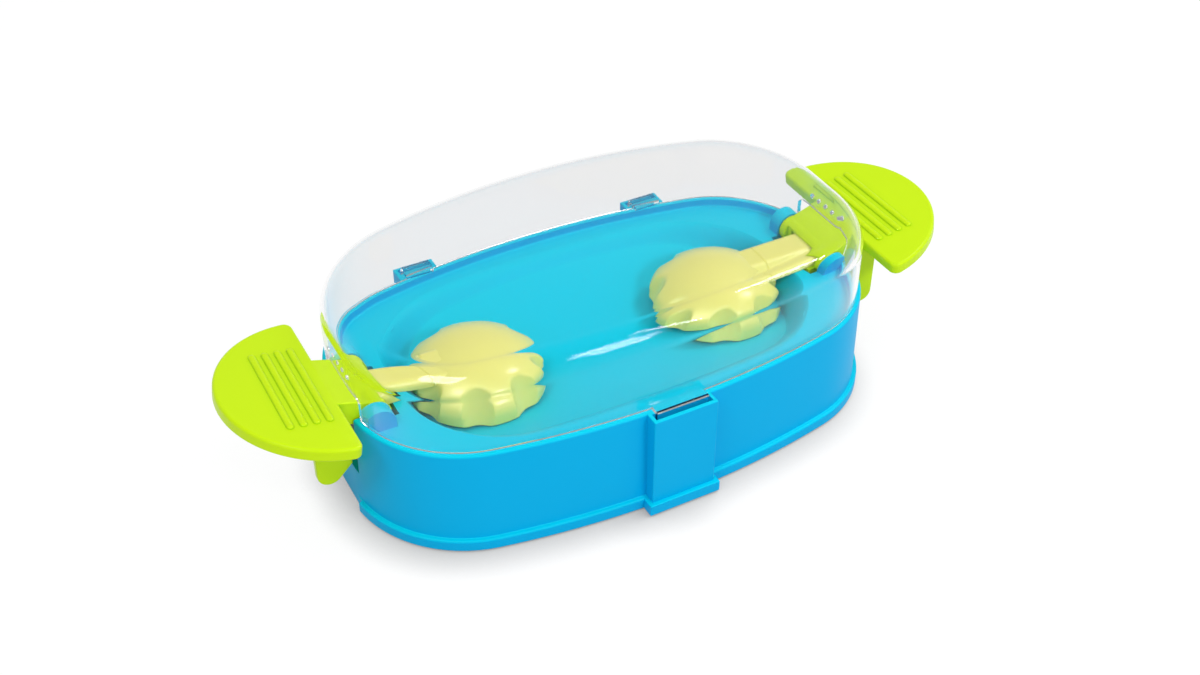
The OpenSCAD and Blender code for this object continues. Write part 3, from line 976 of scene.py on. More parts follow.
@dataclass(frozen=True)
class BaseTub:
    """Blue tub with its foot band, rim, ledge, bowl, lever channels, posts and latch pockets."""

    sizes: ToySizes
    ledge_strip: float = 3 * MM
    lip_round: float = 1.2 * MM
    small_round: float = 0.6 * MM
    round_steps: int = 5
    bowl_shoulder: float = 1 * MM
    bowl_slope: float = 10 * MM
    bowl_straight: float = 0.55
    bowl_steps: int = 18
    floor_cuts: int = 14
    post_radius: float = 7.5 * MM
    post_width: float = 7.5 * MM
    post_steps: int = 32
    pin_share: float = 0.7
    slot_foot: float = 23.2 * MM
    latch_slot_back: float = 77.3 * MM
    hinge_height: float = 14 * MM
    hinge_face: float = 79.5 * MM
    hinge_front: float = 73.4 * MM
    hinge_root: float = 69 * MM
    hinge_slot_foot: float = 52.5 * MM
    foot_x: float = 97 * MM
    foot_y: float = 46 * MM
    foot_radius: float = 6.1 * MM
    foot_wall: float = 2 * MM
    foot_sink: float = 3.3 * MM
    bury: float = 0.02 * MM

    def build(self) -> Piece:
        """Finished moulding, centred on its plan."""
        added = (self.band_pad(), self.pockets(), self.undersides(), self.posts())
        return Bench.mould("base_tub", self.tub(), added, (self.channels(), self.slots(), self.bores()))

    def tub(self) -> BMesh:
        """Whole tub, from a quarter of its wall and of both skins of its bowl.

        Returns:
            The closed shape.
        """
        bm = self.wall()
        for sink in (0.0, self.sizes.wall):
            skin = self.bowl_skin(sink)
            bm.from_mesh(skin)
            bpy.data.meshes.remove(skin)
            bmesh.ops.bridge_loops(bm, edges=OvalPlan.rim_at(bm, self.sizes.ledge - sink))
        OvalPlan.mirror(bm)
        return bm

    @property
    def outside(self) -> float:
        """Distance along X that clears the foot band."""
        sizes = self.sizes
        return sizes.base_half_length + sizes.draft + sizes.band_out + sizes.past

    def feet(self, side: Side) -> tuple[Vector, Vector]:
        """Places of the two feet at one end."""
        x = side.value * self.foot_x
        return at(x, -self.foot_y), at(x, self.foot_y)

    def wall(self) -> BMesh:
        """Quarter of the wall, from the ledge over the rim and the foot band to the ledge's underside.

        Returns:
            The open quarter.
        """
        sizes = self.sizes
        bm = bmesh.new()
        edge = sizes.base_half_length
        band = edge + sizes.draft + sizes.band_out
        band_top = sizes.stand + sizes.band_height
        ledge_end = edge - sizes.rim_width - self.ledge_strip
        corners = [
            at(ledge_end, 0, sizes.ledge),
            at(edge - sizes.rim_width, 0, sizes.ledge),
            at(edge - sizes.rim_width, 0, sizes.base_top),
            at(edge, 0, sizes.base_top),
            at(edge + sizes.draft, 0, band_top),
            at(band, 0, band_top),
            at(band, 0, sizes.stand),
            at(edge - sizes.wall, 0, sizes.stand),
            at(edge - sizes.wall, 0, sizes.ledge - sizes.wall),
            at(ledge_end, 0, sizes.ledge - sizes.wall),
        ]
        Bench.wire(bm, corners)
        for corner in (corners[1], corners[3], corners[5]):
            Bench.round_corner(bm, corner, self.lip_round, self.round_steps)
        for corner in (corners[2], corners[4], corners[6], corners[7]):
            Bench.round_corner(bm, corner, self.small_round, self.round_steps)
        sizes.plan().sweep(bm, bm.edges[:])
        return bm

    def bowl_skin(self, sink: float) -> bpy.types.Mesh:
        """Quarter of the bowl's surface, or of its underside.

        Args:
            sink: Distance of the surface under the bowl's own.

        Returns:
            Mesh of the surface, with its soft edge and its trough.
        """
        sizes = self.sizes
        plan = sizes.bowl_plan(sink)
        bm = bmesh.new()
        start = plan.half_length + self.bowl_shoulder
        points = []
        for step in range(self.bowl_steps + 1):
            share = step / self.bowl_steps
            soft = (1 + math.cos(math.pi * share)) / 2
            height = self.bowl_straight * (1 - share) + (1 - self.bowl_straight) * soft
            points.append(at(start - share * self.bowl_slope, 0, height))
        plan.sweep(bm, Bench.wire(bm, points))
        OvalPlan.reach_middle(bm, OvalPlan.rim(bm, lambda vert: vert.co.z < MERGE), self.floor_cuts)
        half = sizes.bowl_plan().half_width
        trough = (half**2 + sizes.bowl_depth**2) / (2 * sizes.bowl_depth)
        for vert in bm.verts:
            low = sizes.floor + trough - math.sqrt(trough**2 - vert.co.y**2)
            vert.co.z = low + vert.co.z * (sizes.ledge - low) - sink
        mesh = bpy.data.meshes.new("bowl_skin")
        bm.to_mesh(mesh)
        bm.free()
        return mesh

    def band_pad(self) -> BMesh:
        """Piece of foot band that runs round the front pocket.

        Returns:
            The closed shape.
        """
        sizes = self.sizes
        bm = bmesh.new()
        half = sizes.latch_width / 2 + sizes.band_out
        low = at(-half, -sizes.latch_face - sizes.band_out, sizes.stand + self.bury)
        high = at(half, -sizes.base_half_width + sizes.wall, sizes.stand + sizes.band_height)
        Bench.box(bm, low, high, self.small_round)
        return bm

    def pockets(self) -> BMesh:
        """Front latch pocket and the two rear hinge pockets.

        Returns:
            The closed shape.
        """
        sizes = self.sizes
        bm = bmesh.new()
        half = sizes.latch_width / 2
        top = sizes.base_top - self.bury
        low = at(-half, -sizes.latch_face, sizes.stand + 2 * self.bury)
        Bench.box(bm, low, at(half, -sizes.base_half_width + sizes.wall, top), self.small_round)
        half = sizes.hinge_width / 2
        for side in Side:
            middle = side.value * sizes.hinge_x
            low = at(middle - half, self.hinge_root, top - self.hinge_height)
            Bench.box(bm, low, at(middle + half, self.hinge_face, top), self.small_round)
        return bm

    def undersides(self) -> BMesh:
        """Boxes of the lever channels and the bosses of the feet.

        Returns:
            The closed shape.
        """
        sizes = self.sizes
        bm = bmesh.new()
        reach = sizes.channel_half + sizes.wall
        top = sizes.ledge - sizes.wall / 2
        for side in Side:
            near = side.value * (sizes.channel_start - sizes.wall)
            far = side.value * (sizes.base_half_length - sizes.wall / 2)
            Bench.box(bm, at(near, -reach, sizes.channel_floor - sizes.wall), at(far, reach, top))
            for foot in self.feet(side):
                Bench.rod(bm, foot + UP * sizes.stand, foot + UP * top, self.foot_radius + self.foot_wall)
        return bm

    def posts(self) -> BMesh:
        """Posts with round tops that carry the pins, kept clear of the cover's wall.

        Returns:
            The closed shape.
        """
        sizes = self.sizes
        bm = bmesh.new()
        foot = sizes.ledge - sizes.wall / 2
        for side in Side:
            for start in (-sizes.channel_half - self.post_width, sizes.channel_half):
                middle = at(side.value * sizes.pivot_x, start, sizes.pivot_z)
                crest = Bench.arcs(
                    middle + at(self.post_radius), at(y=-1), [(middle, math.pi, self.post_steps)]
                )
                corners = [at(point.x, start, foot) for point in (crest[-1], crest[0])]
                Bench.prism(bm, Bench.wire(bm, crest + corners, closed=True), at(y=self.post_width))
        post = Bench.piece("posts", bm)
        inside = sizes.cover_inset + sizes.cover_wall + sizes.run_gap
        top = sizes.pivot_z + self.post_radius + sizes.past
        Bench.combine(post, sizes.plan(inside).plug(sizes.ledge - sizes.wall, top), Join.KEEP)
        kept = Bench.opened(post)
        bpy.data.meshes.remove(post.data)
        return kept

    def channels(self) -> BMesh:
        """Lever channels.

        Returns:
            The closed shape.
        """
        sizes = self.sizes
        bm = bmesh.new()
        half = sizes.channel_half
        for side in Side:
            near = at(side.value * sizes.channel_start, -half, sizes.channel_floor)
            Bench.box(bm, near, at(side.value * self.outside, half, sizes.base_top + sizes.past))
        return bm

    def slots(self) -> BMesh:
        """Fin slots, gaps in the foot band under them, the hinge slots and the front slot.

        Returns:
            The closed shape.
        """
        sizes = self.sizes
        bm = bmesh.new()
        half = sizes.channel_half - self.bury
        band = half + sizes.past / 2
        room = sizes.hinge_width / 2 - sizes.pocket_wall
        inner = sizes.latch_width / 2 - sizes.pocket_wall
        top = sizes.base_top + sizes.past
        for side in Side:
            far = side.value * self.outside
            near = side.value * (sizes.base_half_length - 2 * sizes.wall)
            Bench.box(bm, at(near, -half, self.slot_foot), at(far, half, sizes.channel_floor + sizes.past))
            near = side.value * (sizes.base_half_length + sizes.draft + self.bury)
            Bench.box(bm, at(near, -band, -sizes.past), at(far, band, sizes.band_height + sizes.past))
            middle = side.value * sizes.hinge_x
            low = at(middle - room, self.hinge_front, self.hinge_slot_foot)
            Bench.box(bm, low, at(middle + room, self.hinge_face - sizes.pocket_wall, top))
        low = at(-inner, -sizes.latch_face + sizes.pocket_wall, -sizes.past)
        Bench.box(bm, low, at(inner, -self.latch_slot_back, top))
        return bm

    def bores(self) -> BMesh:
        """Bores of the pins and the sockets of the feet.

        Returns:
            The closed shape.
        """
        sizes = self.sizes
        bm = bmesh.new()
        front = sizes.channel_half + self.pin_share * self.post_width
        back = sizes.channel_half + self.post_width + sizes.past
        for side in Side:
            x = side.value * sizes.pivot_x
            Bench.rod(bm, at(x, -front, sizes.pivot_z), at(x, back, sizes.pivot_z), sizes.pin_radius)
            for foot in self.feet(side):
                Bench.rod(bm, foot - UP * sizes.past, foot + UP * self.foot_sink, self.foot_radius)
        return bm


@dataclass(frozen=True)
class ClearCover:
    """Clear cover with an arched top, notches for the necks, scent holes and its tabs."""

    sizes: ToySizes
    end_top: float = 94.5 * MM
    crown: float = 6 * MM
    edge_round: float = 13 * MM
    inner_round: float = 10 * MM
    edge_steps: int = 18
    lip_round: float = 0.4 * MM
    lip_steps: int = 3
    flat_strip: float = 1 * MM
    notch_half: float = 21.25 * MM
    notch_top: float = 68.47 * MM
    notch_round: float = 3 * MM
    notch_steps: int = 6
    vents: int = 5
    vent_pitch: float = 5.8 * MM
    vent_z: float = 74.47 * MM
    vent_radius: float = 1.3 * MM
    vent_steps: int = 24
    tab_half: float = 13.3 * MM
    tab_front: float = 79.8 * MM
    tab_thick: float = 2 * MM
    tab_foot: float = 37.5 * MM
    shelf: float = 2 * MM
    hinge_half: float = 7.3 * MM
    hinge_root: float = 66.98 * MM
    bead_neck: float = 1 / 3
    bead_steps: int = 14

    def build(self) -> Piece:
        """Finished moulding, centred on its plan."""
        added = (self.front_tab(), self.hinge_tabs())
        return Bench.mould("cover_shell", self.shell(), added, (self.openings(),))

    def shell(self) -> BMesh:
        """Whole shell of even wall, with its arched top.

        Returns:
            The closed shape.
        """
        sizes = self.sizes
        bm = bmesh.new()
        out = sizes.base_half_length - sizes.cover_inset
        inside = out - sizes.cover_wall
        top_end = out - self.edge_round - self.flat_strip
        under = self.end_top - sizes.cover_wall
        foot = sizes.cover_foot
        corners = [
            at(top_end, 0, self.end_top),
            at(out, 0, self.end_top),
            at(out, 0, foot),
            at(inside, 0, foot),
            at(inside, 0, under),
            at(top_end, 0, under),
        ]
        Bench.wire(bm, corners)
        Bench.round_corner(bm, corners[1], self.edge_round, self.edge_steps)
        Bench.round_corner(bm, corners[4], self.inner_round, self.edge_steps)
        for corner in corners[2:4]:
            Bench.round_corner(bm, corner, self.lip_round, self.lip_steps)
        sizes.plan().sweep(bm, bm.edges[:])
        for height in (self.end_top, under):
            OvalPlan.reach_middle(bm, OvalPlan.rim_at(bm, height))
        shoulder = self.end_top - self.edge_round
        for vert in bm.verts:
            share = min(1.0, max(0.0, (vert.co.z - foot) / (shoulder - foot)))
            vert.co.z += share * self.crown * (1 - (vert.co.x / sizes.base_half_length) ** 2)
        OvalPlan.mirror(bm)
        return bm

    def front_tab(self) -> BMesh:
        """Shelf and snap tab at the front.

        Returns:
            The closed shape.
        """
        sizes = self.sizes
        bm = bmesh.new()
        foot = sizes.cover_foot
        root = -sizes.base_half_width + sizes.cover_inset + sizes.cover_wall / 2
        back = -self.tab_front + self.tab_thick
        outline = (
            (root, foot),
            (root, foot + self.shelf),
            (-self.tab_front, foot + self.shelf),
            (-self.tab_front, self.tab_foot),
            (back, self.tab_foot),
            (back, foot),
        )
        wire = Bench.wire(bm, [at(-self.tab_half, y, z) for y, z in outline], closed=True)
        Bench.prism(bm, wire, at(2 * self.tab_half))
        return bm

    def hinge_tabs(self) -> BMesh:
        """Rear tabs that end in a bead on the hinge line.

        Returns:
            The closed shape.
        """
        sizes = self.sizes
        bm = bmesh.new()
        foot = sizes.cover_foot
        lean = math.acos(self.bead_neck)
        for side in Side:
            x = side.value * sizes.hinge_x - self.hinge_half
            middle = at(x, sizes.hinge_y, sizes.hinge_z)
            start = middle + at(0, math.cos(lean), math.sin(lean)) * sizes.bead
            bead = Bench.arcs(start, at(-1), [(middle, lean + math.pi, self.bead_steps)])
            corners = [
                at(x, sizes.hinge_y - sizes.bead, foot),
                at(x, self.hinge_root, foot),
                at(x, self.hinge_root, foot + self.shelf),
                at(x, start.y, foot + self.shelf),
            ]
            Bench.prism(bm, Bench.wire(bm, corners + bead, closed=True), at(2 * self.hinge_half))
        return bm

    def openings(self) -> BMesh:
        """Notches over the necks and the rows of scent holes.

        Returns:
            The closed shape.
        """
        sizes = self.sizes
        bm = bmesh.new()
        near = sizes.base_half_length - sizes.cover_inset - sizes.cover_wall - sizes.past
        low = sizes.cover_foot - sizes.past
        half = self.notch_half
        for side in Side:
            x = side.value * near
            along = at(side.value * (sizes.cover_wall + 2 * sizes.past))
            outline = ((-half, low), (half, low), (half, self.notch_top), (-half, self.notch_top))
            corners = [at(x, y, z) for y, z in outline]
            notch = bmesh.new()
            Bench.wire(notch, corners, closed=True)
            for corner in corners[2:]:
                Bench.round_corner(notch, corner, self.notch_round, self.notch_steps)
            Bench.prism(notch, notch.edges[:], along)
            Bench.merge(bm, notch)
            for step in range(self.vents):
                place = at(x, (step - (self.vents - 1) / 2) * self.vent_pitch, self.vent_z)
                Bench.rod(bm, place, place + along, self.vent_radius, self.vent_steps)
        return bm


@dataclass(frozen=True)
class Paddle:
    """Lime lever: ribbed half-disc paddle, neck, hub with its mouth, tongue and stop fins."""

    sizes: ToySizes
    radius: float = 49 * MM
    corner: float = 4 * MM
    edge_x: float = 138 * MM
    edge_z: float = 66.5 * MM
    tilt: float = math.radians(9)
    thick: float = 6 * MM
    skin: float = 2.5 * MM
    top_round: float = 1.6 * MM
    small_round: float = 0.7 * MM
    round_steps: int = 5
    arc_steps: int = 72
    corner_steps: int = 10
    hub_steps: int = 72
    ribs: int = 4
    rib_start: float = 7.5 * MM
    rib_pitch: float = 5.9 * MM
    rib_radius: float = 1.7 * MM
    rib_height: float = 1.1 * MM
    rib_length: float = 56 * MM
    rib_sides: int = 40
    rib_rings: int = 15
    fin_x: float = 24 * MM
    fin_drop: float = 33 * MM
    fin_radius: float = 6 * MM
    fin_heel: float = 13 * MM
    fin_slope: float = math.radians(45)
    fin_steps: int = 20
    mouth_depth: float = 6.5 * MM
    mouth_rise: float = 1.5 * MM
    socket_gap: float = 0.1 * MM
    pin_gap: float = 0.05 * MM
    screw_seat: float = 48.3 * MM
    screw_head: float = 2.6 * MM
    screw_shank: float = 1.6 * MM
    head_height: float = 1.8 * MM
    flush: float = 0.02 * MM

    def build(self) -> Piece:
        """Finish the right-hand lever.

        Returns:
            The finished moulding, centred on the base's plan.
        """
        added = (self.neck(), self.hub(), self.tongue(), self.fins())
        cut = (self.hollow(), self.mouth(), self.socket(), self.bores())
        return Bench.mould("paddle", self.plate(), added, cut, (self.rib_bars(),))

    @property
    def tilted(self) -> Matrix:
        """Place of the paddle's top plane, with X away from its straight edge."""
        return Matrix.Translation((self.edge_x, 0, self.edge_z)) @ Matrix.Rotation(-self.tilt, 4, "Y")

    def plate(self) -> BMesh:
        """Half disc with rounded corners, soft top edge and a hollow underside.

        Returns:
            The closed shape.
        """
        bm = bmesh.new()
        corner_y = math.sqrt((self.radius - self.corner) ** 2 - self.corner**2)
        lean = math.atan2(self.corner, corner_y)
        turns = (
            (at(self.corner, -corner_y), math.pi / 2 + lean, self.corner_steps),
            (at(), math.pi - 2 * lean, self.arc_steps),
            (at(self.corner, corner_y), math.pi / 2 + lean, self.corner_steps),
        )
        outline = Bench.arcs(at(y=-corner_y), UP, turns)
        Bench.prism(bm, Bench.wire(bm, outline, closed=True), UP * -self.thick)
        high = [edge for edge in bm.edges if all(vert.co.z > -MERGE for vert in edge.verts)]
        Bench.soften(bm, high, self.top_round, self.round_steps)
        low = [edge for edge in bm.edges if all(vert.co.z < -self.thick + MERGE for vert in edge.verts)]
        Bench.soften(bm, low, self.small_round)
        under = min(bm.faces, key=lambda face: face.normal.z * face.calc_area())
        rim = self.skin - self.small_round
        bmesh.ops.inset_region(bm, faces=[under], thickness=rim, use_even_offset=True)
        raised = Bench.verts_in(bmesh.ops.extrude_face_region(bm, geom=[under])["geom"])
        bmesh.ops.translate(bm, verts=raised, vec=UP * (self.thick - self.skin))
        if under.is_valid:
            bmesh.ops.delete(bm, geom=[under], context="FACES_ONLY")
        bmesh.ops.transform(bm, matrix=self.tilted, verts=bm.verts[:])
        Bench.close(bm)
        return bm

    def rib_bars(self) -> BMesh:
        """Grip ribs with round crests and ends, along the straight edge.

        Returns:
            The closed shape.
        """
        bm = bmesh.new()
        turn = Matrix.Rotation(math.pi / 2, 4, "X")
        reach = self.rib_length / 2 - self.rib_radius
        for step in range(self.ribs):
            ball = bmesh.ops.create_uvsphere(
                bm, u_segments=self.rib_sides, v_segments=self.rib_rings, radius=self.rib_radius,
                matrix=turn,
            )["verts"]
            for vert in ball:
                crest = vert.co.z * self.rib_height / self.rib_radius
                vert.co.z = crest if crest > -MERGE else -self.skin / 2
                vert.co.y += math.copysign(reach, vert.co.y)
            bmesh.ops.translate(bm, verts=ball, vec=at(self.rib_start + step * self.rib_pitch))
        bmesh.ops.transform(bm, matrix=self.tilted, verts=bm.verts[:])
        return bm

    def neck(self) -> BMesh:
        """Neck that rises from the hub into the paddle's top.

        Returns:
            The closed shape.
        """
        sizes = self.sizes
        bm = bmesh.new()
        half = sizes.neck_width / 2
        run = 2 * self.top_round
        top = at(self.edge_x, 0, self.edge_z) - UP * self.flush
        into = top + at(run, 0, run * math.tan(self.tilt))
        points = [
            sizes.pivot + UP * sizes.hub_radius,
            top,
            into,
            into - UP * (self.skin - self.flush),
            at(self.edge_x + self.skin, 0, self.edge_z - self.thick + self.small_round),
            at(self.edge_x, 0, sizes.pivot_z - sizes.hub_radius / 4),
            sizes.pivot - UP * sizes.hub_radius / 2,
        ]
        wire = Bench.wire(bm, [point - at(y=half) for point in points], closed=True)
        Bench.prism(bm, wire, at(y=2 * half))
        Bench.close(bm)
        Bench.soften(bm, Bench.edges_across(bm), self.small_round)
        return bm

    def hub(self) -> BMesh:
        """Round hub between the posts.

        Returns:
            The closed shape.
        """
        sizes = self.sizes
        bm = bmesh.new()
        half = at(y=sizes.hub_width / 2)
        Bench.rod(bm, sizes.pivot - half, sizes.pivot + half, sizes.hub_radius, self.hub_steps)
        Bench.soften(bm, Bench.edges_across(bm), self.small_round)
        return bm

    def tongue(self) -> BMesh:
        """Tongue under the arm that the screw goes through.

        Returns:
            The closed shape.
        """
        sizes = self.sizes
        bm = bmesh.new()
        half = sizes.mouth_half
        low = at(sizes.pivot_x - sizes.tongue, -half, self.screw_seat - self.head_height)
        Bench.box(bm, low, at(sizes.pivot_x, half, sizes.arm_bottom))
        return bm

    def fins(self) -> BMesh:
        """Two stop fins under the neck's cheeks, with rounded ends.

        Returns:
            The closed shape.
        """
        sizes = self.sizes
        bm = bmesh.new()
        centre = sizes.pivot + at(self.fin_x, 0, self.fin_radius - self.fin_drop)
        toe = centre - self.fin_radius * at(math.sin(self.fin_slope), 0, math.cos(self.fin_slope))
        heel = sizes.pivot_x + self.fin_heel
        outer = centre.x + self.fin_radius
        plate = self.edge_z - self.thick / 2
        outline = Bench.arcs(toe, at(y=-1), [(centre, math.pi - self.fin_slope, self.fin_steps)]) + [
            at(outer, 0, plate + (outer - self.edge_x) * math.tan(self.tilt)),
            at(self.edge_x, 0, plate),
            at(heel, 0, sizes.pivot_z - sizes.hub_radius / 4),
            at(heel, 0, toe.z + (toe.x - heel) * math.tan(self.fin_slope)),
        ]
        for start in (-sizes.neck_width / 2, sizes.neck_width / 2 - sizes.cheek):
            fin = bmesh.new()
            Bench.wire(fin, [point + at(y=start) for point in outline], closed=True)
            Bench.prism(fin, fin.edges[:], at(y=sizes.cheek))
            Bench.close(fin)
            Bench.soften(fin, Bench.edges_across(fin), self.small_round)
            Bench.merge(bm, fin)
        return bm

    def hollow(self) -> BMesh:
        """Hollow under the neck, between its cheeks.

        Returns:
            The closed shape.
        """
        sizes = self.sizes
        bm = bmesh.new()
        half = sizes.mouth_half
        low = at(sizes.pivot_x + sizes.pin_radius + sizes.cheek, -half, sizes.channel_floor)
        Bench.box(bm, low, at(self.edge_x + self.skin + sizes.past / 2, half, self.edge_z - 3 * self.skin))
        return bm

    def mouth(self) -> BMesh:
        """Mouth of the hub, wider than the arm.

        Returns:
            The closed shape.
        """
        sizes = self.sizes
        bm = bmesh.new()
        half = sizes.mouth_half
        low = at(sizes.channel_start - sizes.past, -half, sizes.arm_bottom - self.socket_gap)
        high = at(sizes.channel_start + self.mouth_depth, half, sizes.arm_top + self.mouth_rise)
        tops = [
            edge
            for edge in Bench.edges_of(Bench.box(bm, low, high))
            if min(vert.co.z for vert in edge.verts) > sizes.pivot_z
            and abs(edge.verts[0].co.x - edge.verts[1].co.x) > sizes.past
        ]
        Bench.soften(bm, tops, self.mouth_rise, self.round_steps)
        return bm

    def socket(self) -> BMesh:
        """Socket of the arm behind the mouth.

        Returns:
            The closed shape.
        """
        sizes = self.sizes
        bm = bmesh.new()
        gap = self.socket_gap
        half = sizes.arm_width / 2 + gap
        low = at(sizes.channel_start - 2 * sizes.past, -half, sizes.arm_bottom - gap - self.flush)
        Bench.box(bm, low, at(sizes.arm_end + gap, half, sizes.arm_top + gap))
        return bm

    def bores(self) -> BMesh:
        """Bore of the pin and the stepped hole of the screw.

        Returns:
            The closed shape.
        """
        sizes = self.sizes
        bm = bmesh.new()
        reach = at(y=sizes.hub_width / 2 + sizes.past)
        Bench.rod(bm, sizes.pivot - reach, sizes.pivot + reach, sizes.pin_radius + self.pin_gap)
        screw = at(sizes.screw_x, 0, sizes.channel_floor)
        Bench.rod(bm, screw, at(sizes.screw_x, 0, self.screw_seat), self.screw_head)
        top = at(sizes.screw_x, 0, sizes.arm_bottom + sizes.past)
        shank = bmesh.new()
        Bench.rod(shank, screw + UP * self.flush, top, self.screw_shank)
        Bench.merge(bm, shank)
        return bm


@dataclass(frozen=True)
class Paw:
    """Yellow paw: fluted dome, hollow below, with its rounded arm."""

    sizes: ToySizes
    x: float = 66 * MM
    radius: float = 33 * MM
    foot: float = 38.275 * MM
    side: float = 8.5 * MM
    dome: float = 15 * MM
    skin: float = 2.5 * MM
    shoulder: float = 10 * MM
    foot_round: float = 0.7 * MM
    foot_steps: int = 4
    flutes: int = 8
    flute_radius: float = 9 * MM
    flute_depth: float = 2.2 * MM
    flute_lean: float = math.radians(20)
    flute_blend: float = 1.5 * MM
    dome_steps: int = 60
    shoulder_steps: int = 16
    turn_steps: int = 192
    arm_round: float = 5 * MM
    arm_steps: int = 8
    arm_start: float = 16.5 * MM
    seam_x: float = 91 * MM
    seam: float = 0.6 * MM
    pilot: float = 1.35 * MM
    pilot_cap: float = 1.2 * MM
    pilot_steps: int = 24

    def build(self) -> Piece:
        """Finished moulding for the right-hand end, centred on the base's plan."""
        return Bench.mould("paw", self.fluted(), (self.arm(),), (self.hollow(), self.pilot_hole()))

    @property
    def dome_radius(self) -> float:
        """Radius of the dome."""
        return (self.radius**2 + self.dome**2) / (2 * self.dome)

    @property
    def dome_centre(self) -> Vector:
        """Centre of the dome."""
        return at(self.x, 0, self.foot + self.side + self.dome - self.dome_radius)

    def turned(self, crest: float, arcs: Sequence[Turn], foot: Vector, rounding: float = 0.0) -> BMesh:
        """Turn a closed dome.

        Args:
            crest: Height of its top.
            arcs: Centre, angle and steps of each arc of its outline, from the top outwards.
            foot: Corner of its outline at the foot.
            rounding: Rounding of that corner.

        Returns:
            The closed solid.
        """
        bm = bmesh.new()
        Bench.wire(bm, Bench.arcs(at(self.x, 0, crest), at(y=1), arcs) + [foot, at(self.x, 0, foot.z)])
        if rounding:
            Bench.round_corner(bm, foot, rounding, self.foot_steps)
        bmesh.ops.spin(
            bm, geom=bm.verts[:] + bm.edges[:], cent=self.dome_centre, axis=UP, dvec=at(),
            angle=2 * math.pi, steps=self.turn_steps, use_merge=True, use_duplicate=False,
        )
        Bench.close(bm)
        return bm

    def fluted(self) -> BMesh:
        """Dome with a soft shoulder whose lobes are parted by leaning flutes.

        Returns:
            The closed shape.
        """
        centre = self.dome_centre
        inner = self.radius - self.shoulder
        turn = math.asin(inner / (self.dome_radius - self.shoulder))
        rise = (self.dome_radius - self.shoulder) * math.cos(turn)
        arcs = (
            (centre, turn, self.dome_steps),
            (centre + at(inner, 0, rise), math.pi / 2 - turn, self.shoulder_steps),
        )
        foot = at(self.x + self.radius, 0, self.foot)
        bm = self.turned(centre.z + self.dome_radius, arcs, foot, self.foot_round)
        for vert in bm.verts:
            out = Vector((vert.co.x - self.x, vert.co.y))
            if out.length < self.flute_radius:
                continue
            limit = self.flute_limit(math.atan2(out.y, out.x), vert.co.z - self.foot)
            share = max(0.0, 1 - abs(out.length - limit) / self.flute_blend)
            reach = min(out.length, limit) - self.flute_blend * share**2 / 4
            vert.co.x = self.x + out.x * reach / out.length
            vert.co.y = out.y * reach / out.length
        return bm

    def flute_limit(self, angle: float, height: float) -> float:
        """Distance from the middle at which the nearest flute begins.

        Args:
            angle: Direction from the paw's middle.
            height: Height over the paw's foot.

        Returns:
            The distance, or a large one where no flute reaches.
        """
        pitch = 2 * math.pi / self.flutes
        turn = angle % pitch - pitch / 2
        along = math.cos(turn) * math.cos(self.flute_lean)
        foot = (self.radius - self.flute_depth) * math.cos(self.flute_lean)
        back = height * math.sin(self.flute_lean) - foot - self.flute_radius
        square = along**2 + math.sin(turn) ** 2
        room = (along * back) ** 2 - square * (back**2 - self.flute_radius**2)
        if room <= 0:
            return 2 * self.radius
        return (-along * back - math.sqrt(room)) / square

    def arm(self) -> BMesh:
        """Arm with rounded upper edges and a fine seam, from the dome into the hub.

        Returns:
            The closed shape.
        """
        sizes = self.sizes
        bm = bmesh.new()
        half = sizes.arm_width / 2
        start = self.x + self.arm_start
        low, high = sizes.arm_bottom, sizes.arm_top
        corners = [at(start, y, z) for y, z in ((-half, low), (half, low), (half, high), (-half, high))]
        Bench.wire(bm, corners, closed=True)
        for corner in corners[2:]:
            Bench.round_corner(bm, corner, self.arm_round, self.arm_steps)
        Bench.prism(bm, bm.edges[:], at(sizes.arm_end - start))
        for step in (-self.seam, 0.0, self.seam):
            parts = bm.verts[:] + bm.edges[:] + bm.faces[:]
            bmesh.ops.bisect_plane(bm, geom=parts, plane_co=at(self.seam_x + step), plane_no=at(1))
        for vert in bm.verts:
            if abs(vert.co.x - self.seam_x) < MERGE:
                vert.co.y *= 1 - self.seam / half
                vert.co.z += ((low + high) / 2 - vert.co.z) * 2 * self.seam / sizes.arm_height
        return bm

    def hollow(self) -> BMesh:
        """Hollow under the dome, with the same lean as the flutes.

        Returns:
            The closed shape.
        """
        centre = self.dome_centre
        inner = self.dome_radius - self.skin
        lean = math.tan(self.flute_lean)
        foot = self.radius - self.flute_depth - self.skin / math.cos(self.flute_lean)
        reach = foot + (self.foot - centre.z) * lean
        turn = math.asin(reach * math.cos(self.flute_lean) / inner) - self.flute_lean
        low = at(self.x + foot + self.sizes.past * lean, 0, self.foot - self.sizes.past)
        return self.turned(centre.z + inner, [(centre, turn, self.dome_steps // 2)], low)

    def pilot_hole(self) -> BMesh:
        """Pilot hole of the screw, from below.

        Returns:
            The closed shape.
        """
        sizes = self.sizes
        bm = bmesh.new()
        low = at(sizes.screw_x, 0, sizes.arm_bottom - sizes.past)
        high = at(sizes.screw_x, 0, sizes.arm_top - self.pilot_cap)
        Bench.rod(bm, low, high, self.pilot, self.pilot_steps)
        return bm


